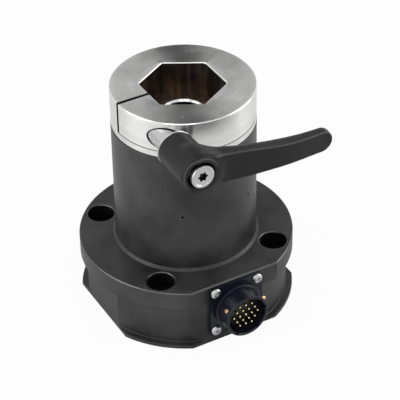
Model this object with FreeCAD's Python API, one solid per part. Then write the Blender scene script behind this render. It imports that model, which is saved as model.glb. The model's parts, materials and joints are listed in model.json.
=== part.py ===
import FreeCAD, Part
import math
import os

# Rotary torque sensor with a clamping hexagon socket.
# All sizes are in millimetres. +Z is up along the measuring axis, and the origin is on that axis in the
# plane of the mounting foot. The connector faces -Y, and the clamp slit opens towards -X.

os.makedirs("parts", exist_ok=True)

# Mounting base
base_radius = 50.1
base_height = 24.5
foot_radius = 53.4
foot_height = 2.0
flat_distance = 47.7
base_edge_chamfer = 0.5
base_cavity_radius = 37.0
base_floor_thickness = 7.0
boss_radius = 26.0
boss_top_depth = 4.5

# Flange disc and sleeve, one turned piece
disc_radius = 53.25
disc_thickness = 10.0
disc_edge_chamfer = 0.6
sleeve_radius = 35.0
sleeve_height = 65.0
sleeve_foot_radius = 1.4
sleeve_bore_radius = 30.0
sleeve_upper_bore_radius = 29.0
sleeve_web_bore_radius = 24.0
sleeve_web_thickness = 3.0
vent_hole_radius = 0.7
vent_hole_rise = 32.0
vent_hole_angle = 31.0

# Mounting holes for M8 socket head screws
mount_circle_radius = 44.6
mount_hole_radius = 4.5
mount_counterbore_radius = 6.75
mount_counterbore_depth = 8.6
mount_mouth_chamfer = 0.45
mount_hole_count = 4
mount_first_angle = 45.0

# Screws that hold the base to the flange disc, M4
base_screw_circle_radius = 43.0
base_screw_radius = 2.0
base_screw_clearance = 0.25
base_screw_head_radius = 3.5
base_screw_head_height = 4.0
base_screw_head_clearance = 0.5
base_screw_recess = 5.0
base_screw_grip = 7.5
base_screw_key_flats = 3.0
base_screw_key_depth = 2.2
base_screw_count = 8

# Clamp head
head_gap = 0.45
head_height = 19.55
head_radius = 34.85
head_edge_chamfer = 0.9
socket_flats = 36.0
socket_depth = 16.4
socket_corner_radius = 2.0
socket_mouth_chamfer = 0.45
clamp_slit_width = 1.2
jaw_slit_width = 0.45
jaw_slit_height = 3.51

# Measuring shaft below the head
seal_land_radius = 21.0
upper_seat_radius = 20.0
lower_seat_radius = 15.0
torsion_radius = 14.0
shaft_bore_radius = 10.3
shaft_bore_chamfer = 0.9
lower_shoulder_radius = 17.0
shaft_end_height = 2.0
drive_flats = 19.0
drive_depth = 18.0
shaft_taper_height = 6.0

# Ball bearings
bearing_width = 7.0
bearing_radial_height = 6.0
ball_radius = 1.9
ball_clearance = 0.05
race_gap = 2.0
cage_thickness = 1.2
cage_width = 5.0
cage_pocket_clearance = 0.12
upper_ball_count = 24
lower_ball_count = 18
lower_bearing_depth = 10.0
upper_bearing_depth = 14.5

# Seals and retaining rings
seal_width = 4.0
seal_clearance = 0.1
seal_wall = 1.2
upper_seal_depth = 1.5
lower_seal_depth = 7.0
base_hole_radius = 18.5
ring_thickness = 1.5
ring_groove_depth = 0.9
ring_reach = 2.2
ring_opening_angle = 24.0
ring_side_clearance = 0.1

# Contactless transmission and measuring parts
coil_height = 12.0
coil_floor_rise = 9.5
air_gap = 0.8
rotor_core_radius = 21.0
winding_height = 6.0
winding_depth = 4.0
winding_cover = 0.5
board_thickness = 1.6
gauge_thickness = 0.3
gauge_height = 8.0
gauge_arc = 26.0
gauge_centre_rise = 14.0
gauge_count = 4
gauge_wire_radius = 0.35
gauge_wire_clearance = 0.05
encoder_radius = 25.0
encoder_thickness = 1.0
encoder_rise = 7.8
encoder_hub_radius = 18.0
encoder_hub_height = 4.0
encoder_clearance = 0.8

# Circuit board in the base
circuit_outer_radius = 36.0
circuit_inner_radius = 20.5
circuit_gap = 0.6
standoff_circle_radius = 31.0
standoff_radius = 2.5
standoff_count = 4
standoff_first_angle = 45.0
board_screw_radius = 1.25
board_screw_head_radius = 2.2
board_screw_head_height = 1.3
board_screw_length = 8.0
chip_height = 1.2
# Each chip: its angle round the axis and half its width
chip_places = ((0.0, 4.0), (115.0, 3.0), (180.0, 3.5))
read_head_size = 5.0
read_head_angle = 135.0
coil_lead_radius = 0.5
coil_lead_circle = 26.8
coil_lead_spacing = 3.0

# Clamp screw and lever
clamp_x = -23.36
clamp_rise = 10.85
clamp_screw_radius = 3.0
clamp_thread_clearance = 0.05
clamp_hole_radius = 3.4
clamp_counterbore_radius = 6.1
clamp_counterbore_y = -17.5
clamp_screw_end_y = 19.0
bush_radius = 5.8
bush_clearance = 0.1
washer_radius = 9.0
washer_thickness = 0.9
hub_back_y = -34.8
hub_back_gap = 0.2
hub_back_radius = 9.0
hub_front_radius = 9.6
hub_shoulder_y = -56.6
hub_front_y = -58.2
hub_front_edge_radius = 8.5
hub_recess_radius = 6.75
stud_body_radius = 5.3
stud_teeth_radius = 5.9
stud_tooth_count = 24
stud_tooth_height = 0.7
tooth_clearance = 0.2
stud_neck_radius = 3.7
stud_neck_clearance = 0.3
stud_teeth_start_y = -40.8
stud_teeth_end_y = -44.0
hub_web_back_y = -44.4
hub_web_front_y = -50.0
cap_radius = 5.8
cap_height = 3.0
cap_face_y = -60.4
cap_edge_chamfer = 0.6
cap_screw_radius = 2.5
cap_screw_end_y = -42.0
cap_socket_radius = 2.5
cap_socket_depth = 2.0
cap_lobe_radius = 0.625
cap_lobe_count = 6
spring_wire_radius = 0.45
spring_turns = 4.0
spring_radius = 4.8
lever_droop = 4.5
lever_length = 70.4
lever_corner_radius = 2.4
lever_corner_share = 0.85
lever_tip_radius = 5.6
lever_tip_middle = 55.6
lever_tip_half_depth = 2.7
lever_tip_turns = (35.0, 62.0, 84.0)
# Each station of the arm: distance from the hub axis, half width, front and back faces towards -Y
lever_stations = [
    (0.0, 8.0, 57.8, 46.0), (9.0, 7.6, 58.4, 48.4), (19.0, 7.2, 59.0, 51.4), (27.0, 6.8, 59.6, 52.6),
    (36.0, 6.2, 60.4, 53.0), (44.0, 5.8, 60.6, 53.1), (53.0, 5.6, 59.7, 53.2),
    (lever_length - lever_tip_radius, lever_tip_radius, 58.4, 52.7)]

# Round connector with 19 contacts
connector_drop = 14.85
connector_hole_radius = 9.6
plate_width = 28.6
plate_thickness = 1.6
plate_corner_radius = 1.0
gasket_thickness = 0.3
plate_hole_spacing = 23.0
plate_screw_radius = 1.5
plate_screw_grip = 6.0
plate_screw_head_radius = 2.7
plate_screw_top_radius = 1.9
plate_screw_head_height = 1.5
plate_screw_key_flats = 2.0
plate_screw_key_depth = 0.9
collar_radius = 12.3
collar_length = 2.2
barrel_radius = 11.4
barrel_wall = 1.5
barrel_front_y = -60.4
shell_rear_radius = 9.5
shell_rear_y = -40.0
insert_radius = 8.6
insert_front_y = -52.5
insert_rear_y = -38.5
pin_radius = 0.5
pin_tip_y = -58.9
pin_rear_y = -37.5
pin_pitch = 3.3
pin_rows = 5
key_width = 1.6
key_depth = 0.6
key_angles = (90.0, 15.0, 165.0, 235.0, 305.0)
stud_pin_radius = 1.05
stud_pin_reach = 1.1
stud_pin_y = -57.9
stud_pin_angles = (30.0, 150.0, 270.0)
plug_width = 18.0
plug_depth = 5.0
plug_height = 5.0
plug_y = -34.0
wire_radius = 0.6
wire_spacing = 2.8
wire_count = 6

# Places worked out from the sizes above
disc_top = base_height + disc_thickness
boss_top_height = base_height - boss_top_depth
base_screw_length = base_height + base_screw_grip - base_screw_recess
sleeve_top = disc_top + sleeve_height
vent_hole_height = disc_top + vent_hole_rise
head_bottom = sleeve_top + head_gap
head_top = head_bottom + head_height
socket_floor = head_top - socket_depth
clamp_height = head_bottom + clamp_rise
connector_height = disc_top - connector_drop
upper_bearing_bottom = sleeve_top - upper_bearing_depth
upper_bearing_top = upper_bearing_bottom + bearing_width
lower_bearing_height = boss_top_height - lower_bearing_depth
lower_bearing_top = lower_bearing_height + bearing_width
lower_seal_height = lower_bearing_height - lower_seal_depth
upper_outer_seat = upper_seat_radius + bearing_radial_height
lower_outer_seat = lower_seat_radius + bearing_radial_height
web_bottom = upper_bearing_bottom - sleeve_web_thickness
coil_floor_height = disc_top + coil_floor_rise
coil_top = coil_floor_height + coil_height
gauge_centre_height = coil_top + gauge_centre_rise
circuit_bottom = boss_top_height + circuit_gap
circuit_top = circuit_bottom + board_thickness
encoder_height = circuit_top + encoder_rise
ring_inset = ring_thickness + ring_side_clearance
gasket_front_y = -flat_distance - gasket_thickness
plate_front_y = gasket_front_y - plate_thickness
plate_screw_end_y = -flat_distance + plate_screw_grip
cut_margin = 1.0
plate_reach_y = plate_front_y - cut_margin
up = FreeCAD.Vector(0, 0, 1)
towards_back = FreeCAD.Vector(0, 1, 0)


def cylinder(radius, low, high, x=0.0, y=0.0):
    return Part.makeCylinder(radius, high - low, FreeCAD.Vector(x, y, low), up)


def tube(outer, inner, low, high):
    return cylinder(outer, low, high).cut(cylinder(inner, low - cut_margin, high + cut_margin))


def cylinder_y(radius, front, back, x, z):
    return Part.makeCylinder(radius, back - front, FreeCAD.Vector(x, front, z), towards_back)


def cone_y(front_radius, back_radius, front, back, x, z):
    place = FreeCAD.Vector(x, front, z)
    return Part.makeCone(front_radius, back_radius, back - front, place, towards_back)


def box(x_low, x_high, y_low, y_high, z_low, z_high):
    corner = FreeCAD.Vector(x_low, y_low, z_low)
    return Part.makeBox(x_high - x_low, y_high - y_low, z_high - z_low, corner)


def turned(profile):
    points = [FreeCAD.Vector(radius, 0, height) for radius, height in profile]
    face = Part.Face(Part.makePolygon(points + points[:1]))
    return face.revolve(FreeCAD.Vector(0, 0, 0), up, 360)


def turned_y(profile, x, z):
    points = [FreeCAD.Vector(x + radius, y, z) for radius, y in profile]
    face = Part.Face(Part.makePolygon(points + points[:1]))
    return face.revolve(FreeCAD.Vector(x, 0, z), towards_back, 360)


def hexagon(flats, low, high, first_angle=30.0):
    corner_radius = flats / math.sqrt(3.0)
    points = []
    for step in range(6):
        angle = math.radians(first_angle + 60.0 * step)
        points.append(FreeCAD.Vector(corner_radius * math.cos(angle), corner_radius * math.sin(angle), low))
    return Part.Face(Part.makePolygon(points + points[:1])).extrude(FreeCAD.Vector(0, 0, high - low))


def polar(radius, angle):
    return radius * math.cos(math.radians(angle)), radius * math.sin(math.radians(angle))


def around(shape, angle):
    return shape.rotated(FreeCAD.Vector(0, 0, 0), up, angle)


def write(name, solids):
    shape = Part.makeCompound(solids) if len(solids) > 1 else solids[0]
    shape.exportStep("parts/" + name + ".step")
    print(name, len(shape.Solids), round(shape.Volume, 1), shape.isValid())


# Places that several pieces share
mount_places = [polar(mount_circle_radius, mount_first_angle + 360.0 / mount_hole_count * step)
                for step in range(mount_hole_count)]
base_screw_step = 360.0 / base_screw_count
base_screw_places = [polar(base_screw_circle_radius, base_screw_step * (step + 0.5))
                     for step in range(base_screw_count)]
plate_screw_places = [(side * plate_hole_spacing / 2, connector_height + lift * plate_hole_spacing / 2)
                      for side in (-1, 1) for lift in (-1, 1)]
standoff_places = [polar(standoff_circle_radius, standoff_first_angle + 360.0 / standoff_count * step)
                   for step in range(standoff_count)]


def flat_cutters(sides, low, high):
    reach = 2 * foot_radius
    cutters = []
    for angle in sides:
        slab = box(flat_distance, reach, -reach, reach, low - cut_margin, high + cut_margin)
        cutters.append(around(slab, angle))
    return cutters


def connector_openings():
    inner_end = -sleeve_upper_bore_radius
    tools = [cylinder_y(connector_hole_radius, plate_reach_y, inner_end, 0, connector_height)]
    for x, z in plate_screw_places:
        tools.append(cylinder_y(plate_screw_radius, plate_reach_y, plate_screw_end_y, x, z))
    return tools


def make_base_body():
    body = turned([
        (0, 0), (foot_radius - base_edge_chamfer, 0), (foot_radius, base_edge_chamfer),
        (foot_radius, foot_height), (base_radius, foot_height),
        (base_radius, base_height - base_edge_chamfer), (base_radius - base_edge_chamfer, base_height),
        (0, base_height)])
    cavity = tube(base_cavity_radius, boss_radius, base_floor_thickness, base_height + cut_margin)
    above_boss = cylinder(boss_radius + cut_margin, boss_top_height, base_height + cut_margin)
    seat = cylinder(lower_outer_seat, lower_bearing_height, base_height)
    hole = cylinder(base_hole_radius, -cut_margin, base_height)
    groove_low = lower_bearing_top
    groove = cylinder(lower_outer_seat + ring_groove_depth, groove_low, groove_low + ring_inset)
    tools = [cavity, above_boss, seat, hole, groove]
    tools += flat_cutters((0, 90, 180, 270), 0, base_height)
    for x, y in mount_places:
        tools.append(cylinder(mount_hole_radius, -cut_margin, base_height + cut_margin, x, y))
    for x, y in base_screw_places:
        clearance = base_screw_radius + base_screw_clearance
        head_room = base_screw_head_radius + base_screw_head_clearance
        tools.append(cylinder(clearance, -cut_margin, base_height + cut_margin, x, y))
        tools.append(cylinder(head_room, -cut_margin, base_screw_recess, x, y))
    body = body.cut(tools + connector_openings())
    return body


def make_housing_sleeve():
    fillet = sleeve_foot_radius
    body = turned([
        (0, base_height), (disc_radius, base_height), (disc_radius, disc_top - disc_edge_chamfer),
        (disc_radius - disc_edge_chamfer, disc_top), (sleeve_radius + fillet, disc_top),
        (sleeve_radius, disc_top + fillet), (sleeve_radius, sleeve_top), (0, sleeve_top)])
    tools = [
        cylinder(sleeve_bore_radius, base_height - cut_margin, coil_top),
        cylinder(sleeve_upper_bore_radius, base_height, web_bottom),
        cylinder(sleeve_web_bore_radius, base_height, sleeve_top),
        cylinder(upper_outer_seat, upper_bearing_bottom, sleeve_top + cut_margin),
        cylinder(upper_outer_seat + ring_groove_depth, upper_bearing_top, upper_bearing_top + ring_inset),
        cylinder(sleeve_bore_radius + ring_groove_depth, coil_floor_height - ring_inset, coil_floor_height)]
    tools += flat_cutters((270,), base_height, disc_top)
    for x, y in mount_places:
        mouth = mount_counterbore_radius + mount_mouth_chamfer
        place = FreeCAD.Vector(x, y, disc_top - mount_mouth_chamfer)
        tools.append(cylinder(mount_hole_radius, base_height - cut_margin, disc_top + cut_margin, x, y))
        tools.append(cylinder(mount_counterbore_radius, disc_top - mount_counterbore_depth,
                              disc_top + cut_margin, x, y))
        tools.append(Part.makeCone(mount_counterbore_radius, mouth, mount_mouth_chamfer, place, up))
    for x, y in base_screw_places:
        tools.append(cylinder(base_screw_radius, base_height - cut_margin,
                              base_screw_recess + base_screw_length, x, y))
    for side in (-1, 1):
        x, y = polar(sleeve_radius + cut_margin, -90.0 + side * vent_hole_angle)
        inward = FreeCAD.Vector(-x, -y, 0)
        depth = sleeve_radius + 2 * cut_margin - sleeve_upper_bore_radius
        place = FreeCAD.Vector(x, y, vent_hole_height)
        tools.append(Part.makeCylinder(vent_hole_radius, depth, place, inward))
    return body.cut(tools + connector_openings())


def make_measuring_shaft():
    chamfer = head_edge_chamfer
    body = turned([
        (0, shaft_end_height), (lower_seat_radius, shaft_end_height), (lower_seat_radius, lower_bearing_top),
        (lower_shoulder_radius, lower_bearing_top), (lower_shoulder_radius, boss_top_height),
        (lower_seat_radius, boss_top_height), (lower_seat_radius, coil_floor_height),
        (torsion_radius, coil_floor_height), (torsion_radius, web_bottom - shaft_taper_height),
        (upper_seat_radius, web_bottom), (upper_seat_radius, upper_bearing_top),
        (seal_land_radius, upper_bearing_top), (seal_land_radius, head_bottom),
        (head_radius, head_bottom), (head_radius, head_top - chamfer),
        (head_radius - chamfer, head_top), (0, head_top)])
    socket = hexagon(socket_flats, socket_floor, head_top + cut_margin)
    upright = [edge for edge in socket.Edges if abs(edge.BoundBox.ZLength) > cut_margin]
    socket = socket.makeFillet(socket_corner_radius, upright)
    body = body.cut(socket)
    mouth = [edge for edge in body.Edges
             if edge.BoundBox.ZMin > head_top - 0.01 and edge.BoundBox.XMax < socket_flats
             and edge.BoundBox.DiagonalLength < head_radius]
    body = body.makeChamfer(socket_mouth_chamfer, mouth)
    drive_top = shaft_end_height + drive_depth
    bore = cylinder(shaft_bore_radius, drive_top, socket_floor + cut_margin)
    mouth_radius = shaft_bore_radius + shaft_bore_chamfer
    place = FreeCAD.Vector(0, 0, socket_floor - shaft_bore_chamfer)
    bore_mouth = Part.makeCone(shaft_bore_radius, mouth_radius, shaft_bore_chamfer, place, up)
    drive = hexagon(drive_flats, shaft_end_height - cut_margin, drive_top)
    lower_ring = tube(lower_seat_radius + cut_margin, lower_seat_radius - ring_groove_depth,
                      lower_bearing_height - ring_inset, lower_bearing_height)
    upper_ring = tube(upper_seat_radius + cut_margin, upper_seat_radius - ring_groove_depth,
                      upper_bearing_bottom - ring_inset, upper_bearing_bottom)
    half_slit = clamp_slit_width / 2
    slit_low = head_bottom + jaw_slit_height - jaw_slit_width / 2
    slit = box(-2 * head_radius, 0, -half_slit, half_slit, slit_low, head_top + cut_margin)
    jaw_slit = box(-2 * head_radius, 2 * head_radius, -2 * head_radius, half_slit,
                   slit_low, slit_low + jaw_slit_width)
    hole = cylinder_y(clamp_hole_radius, -head_radius, 0, clamp_x, clamp_height)
    counterbore = cylinder_y(clamp_counterbore_radius, -head_radius, clamp_counterbore_y,
                             clamp_x, clamp_height)
    thread_radius = clamp_screw_radius + clamp_thread_clearance
    thread = cylinder_y(thread_radius, 0, head_radius, clamp_x, clamp_height)
    return body.cut([bore, bore_mouth, drive, lower_ring, upper_ring, slit, jaw_slit,
                     hole, counterbore, thread])


def make_retaining_ring(edge_radius, low, inside):
    # A ring that snaps into a hole reaches inwards from its groove, and one on a shaft reaches outwards.
    if inside:
        ring = tube(edge_radius + ring_groove_depth, edge_radius - ring_reach, low, low + ring_thickness)
    else:
        ring = tube(edge_radius + ring_reach, edge_radius - ring_groove_depth, low, low + ring_thickness)
    reach = 2 * edge_radius
    half_angle = math.radians(ring_opening_angle / 2)
    far_x, far_y = reach * math.cos(half_angle), reach * math.sin(half_angle)
    points = [FreeCAD.Vector(0, 0, low - cut_margin), FreeCAD.Vector(far_x, -far_y, low - cut_margin),
              FreeCAD.Vector(far_x, far_y, low - cut_margin)]
    height = FreeCAD.Vector(0, 0, ring_thickness + 2 * cut_margin)
    return ring.cut(Part.Face(Part.makePolygon(points + points[:1])).extrude(height))


def make_bearing(bore_radius, low, ball_count):
    outer_radius = bore_radius + bearing_radial_height
    pitch_radius = bore_radius + bearing_radial_height / 2
    middle = low + bearing_width / 2
    high = low + bearing_width
    centre = FreeCAD.Vector(0, 0, middle)
    groove = Part.makeTorus(pitch_radius, ball_radius + ball_clearance, centre, up)
    inner_race = tube(pitch_radius - race_gap / 2, bore_radius, low, high).cut(groove)
    outer_race = tube(outer_radius, pitch_radius + race_gap / 2, low, high).cut(groove)
    cage = tube(pitch_radius + cage_thickness / 2, pitch_radius - cage_thickness / 2,
                middle - cage_width / 2, middle + cage_width / 2)
    balls = []
    pockets = []
    for step in range(ball_count):
        x, y = polar(pitch_radius, 360.0 / ball_count * step)
        place = FreeCAD.Vector(x, y, middle)
        balls.append(Part.makeSphere(ball_radius, place))
        outward = FreeCAD.Vector(x, y, 0).normalize()
        pockets.append(Part.makeCylinder(ball_radius + cage_pocket_clearance, 2 * cage_thickness,
                                         place - outward * cage_thickness, outward))
    return outer_race, inner_race, balls, cage.cut(pockets)


def make_seal(shaft_radius, seat_radius, low):
    lip = shaft_radius + seal_clearance
    high = low + seal_width
    wall = seal_wall
    lip_height = high - seal_width / 3
    return turned([
        (seat_radius, low), (seat_radius, high), (lip + wall, high), (lip, lip_height),
        (lip + wall / 2, lip_height - wall), (lip + wall, high - wall), (seat_radius - wall, high - wall),
        (seat_radius - wall, low)])


def make_coil(inner_radius, outer_radius, opens_inwards):
    core = tube(outer_radius, inner_radius, coil_floor_height, coil_top)
    middle = (coil_floor_height + coil_top) / 2
    low, high = middle - winding_height / 2, middle + winding_height / 2
    if opens_inwards:
        core = core.cut(tube(inner_radius + winding_depth, inner_radius - cut_margin, low, high))
        winding = tube(inner_radius + winding_depth, inner_radius + winding_cover, low, high)
    else:
        core = core.cut(tube(outer_radius + cut_margin, outer_radius - winding_depth, low, high))
        winding = tube(outer_radius - winding_cover, outer_radius - winding_depth, low, high)
    return core, winding


def make_strain_gauges():
    gauges = []
    half_angle = math.radians(gauge_arc / 2)
    low = gauge_centre_height - gauge_height / 2
    ring = tube(torsion_radius + gauge_thickness, torsion_radius, low, low + gauge_height)
    reach = 2 * torsion_radius
    far_x, far_y = reach * math.cos(half_angle), reach * math.sin(half_angle)
    points = [FreeCAD.Vector(0, 0, low), FreeCAD.Vector(far_x, -far_y, low),
              FreeCAD.Vector(far_x, far_y, low)]
    wedge = Part.Face(Part.makePolygon(points + points[:1])).extrude(FreeCAD.Vector(0, 0, gauge_height))
    patch = ring.common(wedge)
    for step in range(gauge_count):
        gauges.append(around(patch, 360.0 / gauge_count * step))
    return gauges


def make_gauge_wires():
    wires = []
    low = coil_top + board_thickness
    high = gauge_centre_height - gauge_height / 2
    place_radius = torsion_radius + gauge_wire_radius + gauge_wire_clearance
    for step in range(gauge_count):
        for side in (-1, 1):
            x, y = polar(place_radius, 360.0 / gauge_count * step + side * gauge_arc / 4)
            wires.append(cylinder(gauge_wire_radius, low, high, x, y))
    return wires


def make_circuit_board():
    board = tube(circuit_outer_radius, circuit_inner_radius, circuit_bottom, circuit_top)
    tools = [cylinder(board_screw_radius, circuit_bottom - cut_margin, circuit_top + cut_margin, x, y)
             for x, y in standoff_places]
    return board.cut(tools)


def make_standoffs():
    standoffs = []
    for x, y in standoff_places:
        post = cylinder(standoff_radius, base_floor_thickness, circuit_bottom, x, y)
        standoffs.append(post.cut(cylinder(board_screw_radius, circuit_top - board_screw_length,
                                           circuit_bottom + cut_margin, x, y)))
    return standoffs


def make_board_screws():
    screws = []
    for x, y in standoff_places:
        shank = cylinder(board_screw_radius, circuit_top - board_screw_length, circuit_top, x, y)
        head = cylinder(board_screw_head_radius, circuit_top, circuit_top + board_screw_head_height, x, y)
        screws.append(shank.fuse(head).removeSplitter())
    return screws


def make_base_screws():
    screws = []
    head_low = base_screw_recess - base_screw_head_height
    for x, y in base_screw_places:
        shank = cylinder(base_screw_radius, base_screw_recess, base_screw_recess + base_screw_length, x, y)
        head = cylinder(base_screw_head_radius, head_low, base_screw_recess, x, y)
        key = hexagon(base_screw_key_flats, head_low - cut_margin, head_low + base_screw_key_depth)
        key.translate(FreeCAD.Vector(x, y, 0))
        screws.append(shank.fuse(head).removeSplitter().cut(key))
    return screws


def make_clamp_stud():
    body_front = hub_back_y + hub_back_gap
    rod = cylinder_y(clamp_screw_radius, body_front, clamp_screw_end_y, clamp_x, clamp_height)
    body = cylinder_y(stud_body_radius, stud_teeth_start_y, body_front, clamp_x, clamp_height)
    neck = cylinder_y(stud_neck_radius, hub_web_front_y, stud_teeth_start_y, clamp_x, clamp_height)
    teeth = toothed_prism(stud_teeth_radius, stud_teeth_radius - stud_tooth_height,
                          stud_teeth_end_y, stud_teeth_start_y)
    stud = rod.fuse([body, neck, teeth]).removeSplitter()
    return stud.cut(cylinder_y(cap_screw_radius, hub_web_front_y - cut_margin, cap_screw_end_y,
                               clamp_x, clamp_height))


def toothed_prism(tip_radius, root_radius, front, back):
    points = []
    for step in range(2 * stud_tooth_count):
        radius = tip_radius if step % 2 == 0 else root_radius
        angle = math.pi * step / stud_tooth_count
        points.append(FreeCAD.Vector(clamp_x + radius * math.cos(angle), front,
                                     clamp_height + radius * math.sin(angle)))
    face = Part.Face(Part.makePolygon(points + points[:1]))
    return face.extrude(FreeCAD.Vector(0, back - front, 0))


def make_lever_spring():
    # The coil reaches from the hub's web to the underside of the cap screw's head.
    front = cap_face_y + cap_height
    length = hub_web_front_y - front - 2 * spring_wire_radius
    pitch = length / spring_turns
    helix = Part.makeHelix(pitch, length, spring_radius)
    start = FreeCAD.Vector(spring_radius, 0, 0)
    circle = Part.Wire([Part.makeCircle(spring_wire_radius, start, FreeCAD.Vector(0, 1, 0))])
    coil = Part.Wire(helix.Edges).makePipeShell([circle], True, True)
    coil.rotate(FreeCAD.Vector(0, 0, 0), FreeCAD.Vector(1, 0, 0), -90)
    coil.translate(FreeCAD.Vector(clamp_x, front + spring_wire_radius, clamp_height))
    return coil


def make_cap_screw():
    head = turned_y([
        (0, cap_face_y), (cap_radius - cap_edge_chamfer, cap_face_y),
        (cap_radius, cap_face_y + cap_edge_chamfer), (cap_radius, cap_face_y + cap_height),
        (0, cap_face_y + cap_height)], clamp_x, clamp_height)
    shank = cylinder_y(cap_screw_radius, cap_face_y + cap_height, cap_screw_end_y, clamp_x, clamp_height)
    recess = []
    lobe_circle = cap_socket_radius - cap_lobe_radius
    for step in range(cap_lobe_count):
        x, z = polar(lobe_circle, 360.0 / cap_lobe_count * step)
        recess.append(cylinder_y(cap_lobe_radius, cap_face_y - cut_margin, cap_face_y + cap_socket_depth,
                                 clamp_x + x, clamp_height + z))
    recess.append(cylinder_y(lobe_circle, cap_face_y - cut_margin, cap_face_y + cap_socket_depth,
                             clamp_x, clamp_height))
    return head.fuse(shank).removeSplitter().cut(recess)


def lever_section(along, half_width, front, back):
    # Sections stand square to the arm, as rectangles with round corners.
    droop = math.radians(-lever_droop)
    half_depth = (front - back) / 2
    corner = min(lever_corner_radius, lever_corner_share * min(half_width, half_depth))
    corners = []
    for wide, deep in ((1, -1), (1, 1), (-1, 1), (-1, -1)):
        corners.append((wide * (half_width - corner), deep * (half_depth - corner)))
    diagonal = corner * math.sqrt(0.5)

    def place(across, depth):
        return FreeCAD.Vector(clamp_x + along * math.cos(droop) - across * math.sin(droop),
                              -(front + back) / 2 - depth,
                              clamp_height + along * math.sin(droop) + across * math.cos(droop))

    edges = []
    for (wide, deep), (next_wide, next_deep) in zip(corners, corners[1:] + corners[:1]):
        out_wide = math.copysign(1, wide)
        out_deep = math.copysign(1, deep)
        turns_deep = out_wide != out_deep
        first = (wide, deep + corner * out_deep) if turns_deep else (wide + corner * out_wide, deep)
        last = (wide + corner * out_wide, deep) if turns_deep else (wide, deep + corner * out_deep)
        middle = (wide + diagonal * out_wide, deep + diagonal * out_deep)
        edges.append(Part.Arc(place(*first), place(*middle), place(*last)).toShape())
        next_out_wide = math.copysign(1, next_wide)
        next_out_deep = math.copysign(1, next_deep)
        if next_out_wide != next_out_deep:
            reached = (next_wide, next_deep + corner * next_out_deep)
        else:
            reached = (next_wide + corner * next_out_wide, next_deep)
        edges.append(Part.makeLine(place(*last), place(*reached)))
    return Part.Wire(edges)


def make_lever_handle():
    tip_centre = lever_length - lever_tip_radius
    stations = list(lever_stations)
    for turn in lever_tip_turns:
        narrow = math.cos(math.radians(turn))
        forward = math.sin(math.radians(turn))
        depth = lever_tip_half_depth * math.sqrt(narrow)
        stations.append((tip_centre + lever_tip_radius * forward, lever_tip_radius * narrow,
                         lever_tip_middle + depth, lever_tip_middle - depth))
    arm = Part.makeLoft([lever_section(*station) for station in stations], True, False)
    hub = turned_y([
        (0, hub_back_y), (hub_back_radius, hub_back_y), (hub_front_radius, hub_shoulder_y),
        (hub_front_edge_radius, hub_front_y), (0, hub_front_y)], clamp_x, clamp_height)
    handle = hub.fuse(arm)
    cavity_radius = stud_teeth_radius + tooth_clearance
    cavity = cylinder_y(cavity_radius, stud_teeth_start_y, hub_back_y + cut_margin, clamp_x, clamp_height)
    teeth = toothed_prism(cavity_radius, cavity_radius - stud_tooth_height,
                          hub_web_back_y, stud_teeth_start_y)
    neck = cylinder_y(stud_neck_radius + stud_neck_clearance, hub_front_y - cut_margin, stud_teeth_start_y,
                      clamp_x, clamp_height)
    recess = cylinder_y(hub_recess_radius, cap_face_y - cut_margin, hub_web_front_y, clamp_x, clamp_height)
    return handle.cut([cavity, teeth, neck, recess])


def make_clamp_bush():
    front = hub_back_y + hub_back_gap + washer_thickness
    bush = cylinder_y(bush_radius, front, clamp_counterbore_y, clamp_x, clamp_height)
    bore = clamp_screw_radius + bush_clearance
    return bush.cut(cylinder_y(bore, front - cut_margin, cut_margin, clamp_x, clamp_height))


def make_lever_washer():
    front = hub_back_y + hub_back_gap
    washer = cylinder_y(washer_radius, front, front + washer_thickness, clamp_x, clamp_height)
    bore = clamp_screw_radius + bush_clearance
    return washer.cut(cylinder_y(bore, front - cut_margin, cut_margin, clamp_x, clamp_height))


def make_plate(width, front, back):
    half = width / 2
    plate = box(-half, half, front, back, connector_height - half, connector_height + half)
    edges = [edge for edge in plate.Edges if edge.BoundBox.YLength > (back - front) / 2]
    return plate.makeFillet(plate_corner_radius, edges)


def make_connector_gasket():
    gasket = make_plate(plate_width, gasket_front_y, -flat_distance)
    tools = [cylinder_y(connector_hole_radius, plate_reach_y, 0, 0, connector_height)]
    tools += [cylinder_y(plate_screw_radius, plate_reach_y, 0, x, z) for x, z in plate_screw_places]
    return gasket.cut(tools)


def make_connector_shell():
    plate = make_plate(plate_width, plate_front_y, gasket_front_y)
    collar = cylinder_y(collar_radius, plate_front_y - collar_length, plate_front_y, 0, connector_height)
    barrel = cylinder_y(barrel_radius, barrel_front_y, plate_front_y, 0, connector_height)
    rear = cylinder_y(shell_rear_radius, gasket_front_y, shell_rear_y, 0, connector_height)
    shell = plate.fuse([collar, barrel, rear]).removeSplitter()
    mouth_radius = barrel_radius - barrel_wall
    tools = [
        cylinder_y(mouth_radius, barrel_front_y - cut_margin, insert_front_y, 0, connector_height),
        cylinder_y(insert_radius, insert_front_y - cut_margin, 0, 0, connector_height)]
    for angle in key_angles:
        key = box(mouth_radius - key_depth, mouth_radius + key_depth, barrel_front_y - cut_margin,
                  insert_front_y, -key_width / 2, key_width / 2)
        key.rotate(FreeCAD.Vector(0, 0, 0), FreeCAD.Vector(0, -1, 0), angle)
        key.translate(FreeCAD.Vector(0, 0, connector_height))
        tools.append(key)
    for x, z in plate_screw_places:
        tools.append(cylinder_y(plate_screw_radius, plate_reach_y, 0, x, z))
    for angle in stud_pin_angles:
        tools.append(bayonet_stud(angle))
    return shell.cut(tools)


def bayonet_stud(angle):
    inner = barrel_radius - barrel_wall / 2
    outer = barrel_radius + stud_pin_reach
    x, z = polar(1.0, angle)
    start = FreeCAD.Vector(inner * x, stud_pin_y, connector_height + inner * z)
    return Part.makeCylinder(stud_pin_radius, outer - inner, start, FreeCAD.Vector(x, 0, z))


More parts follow.
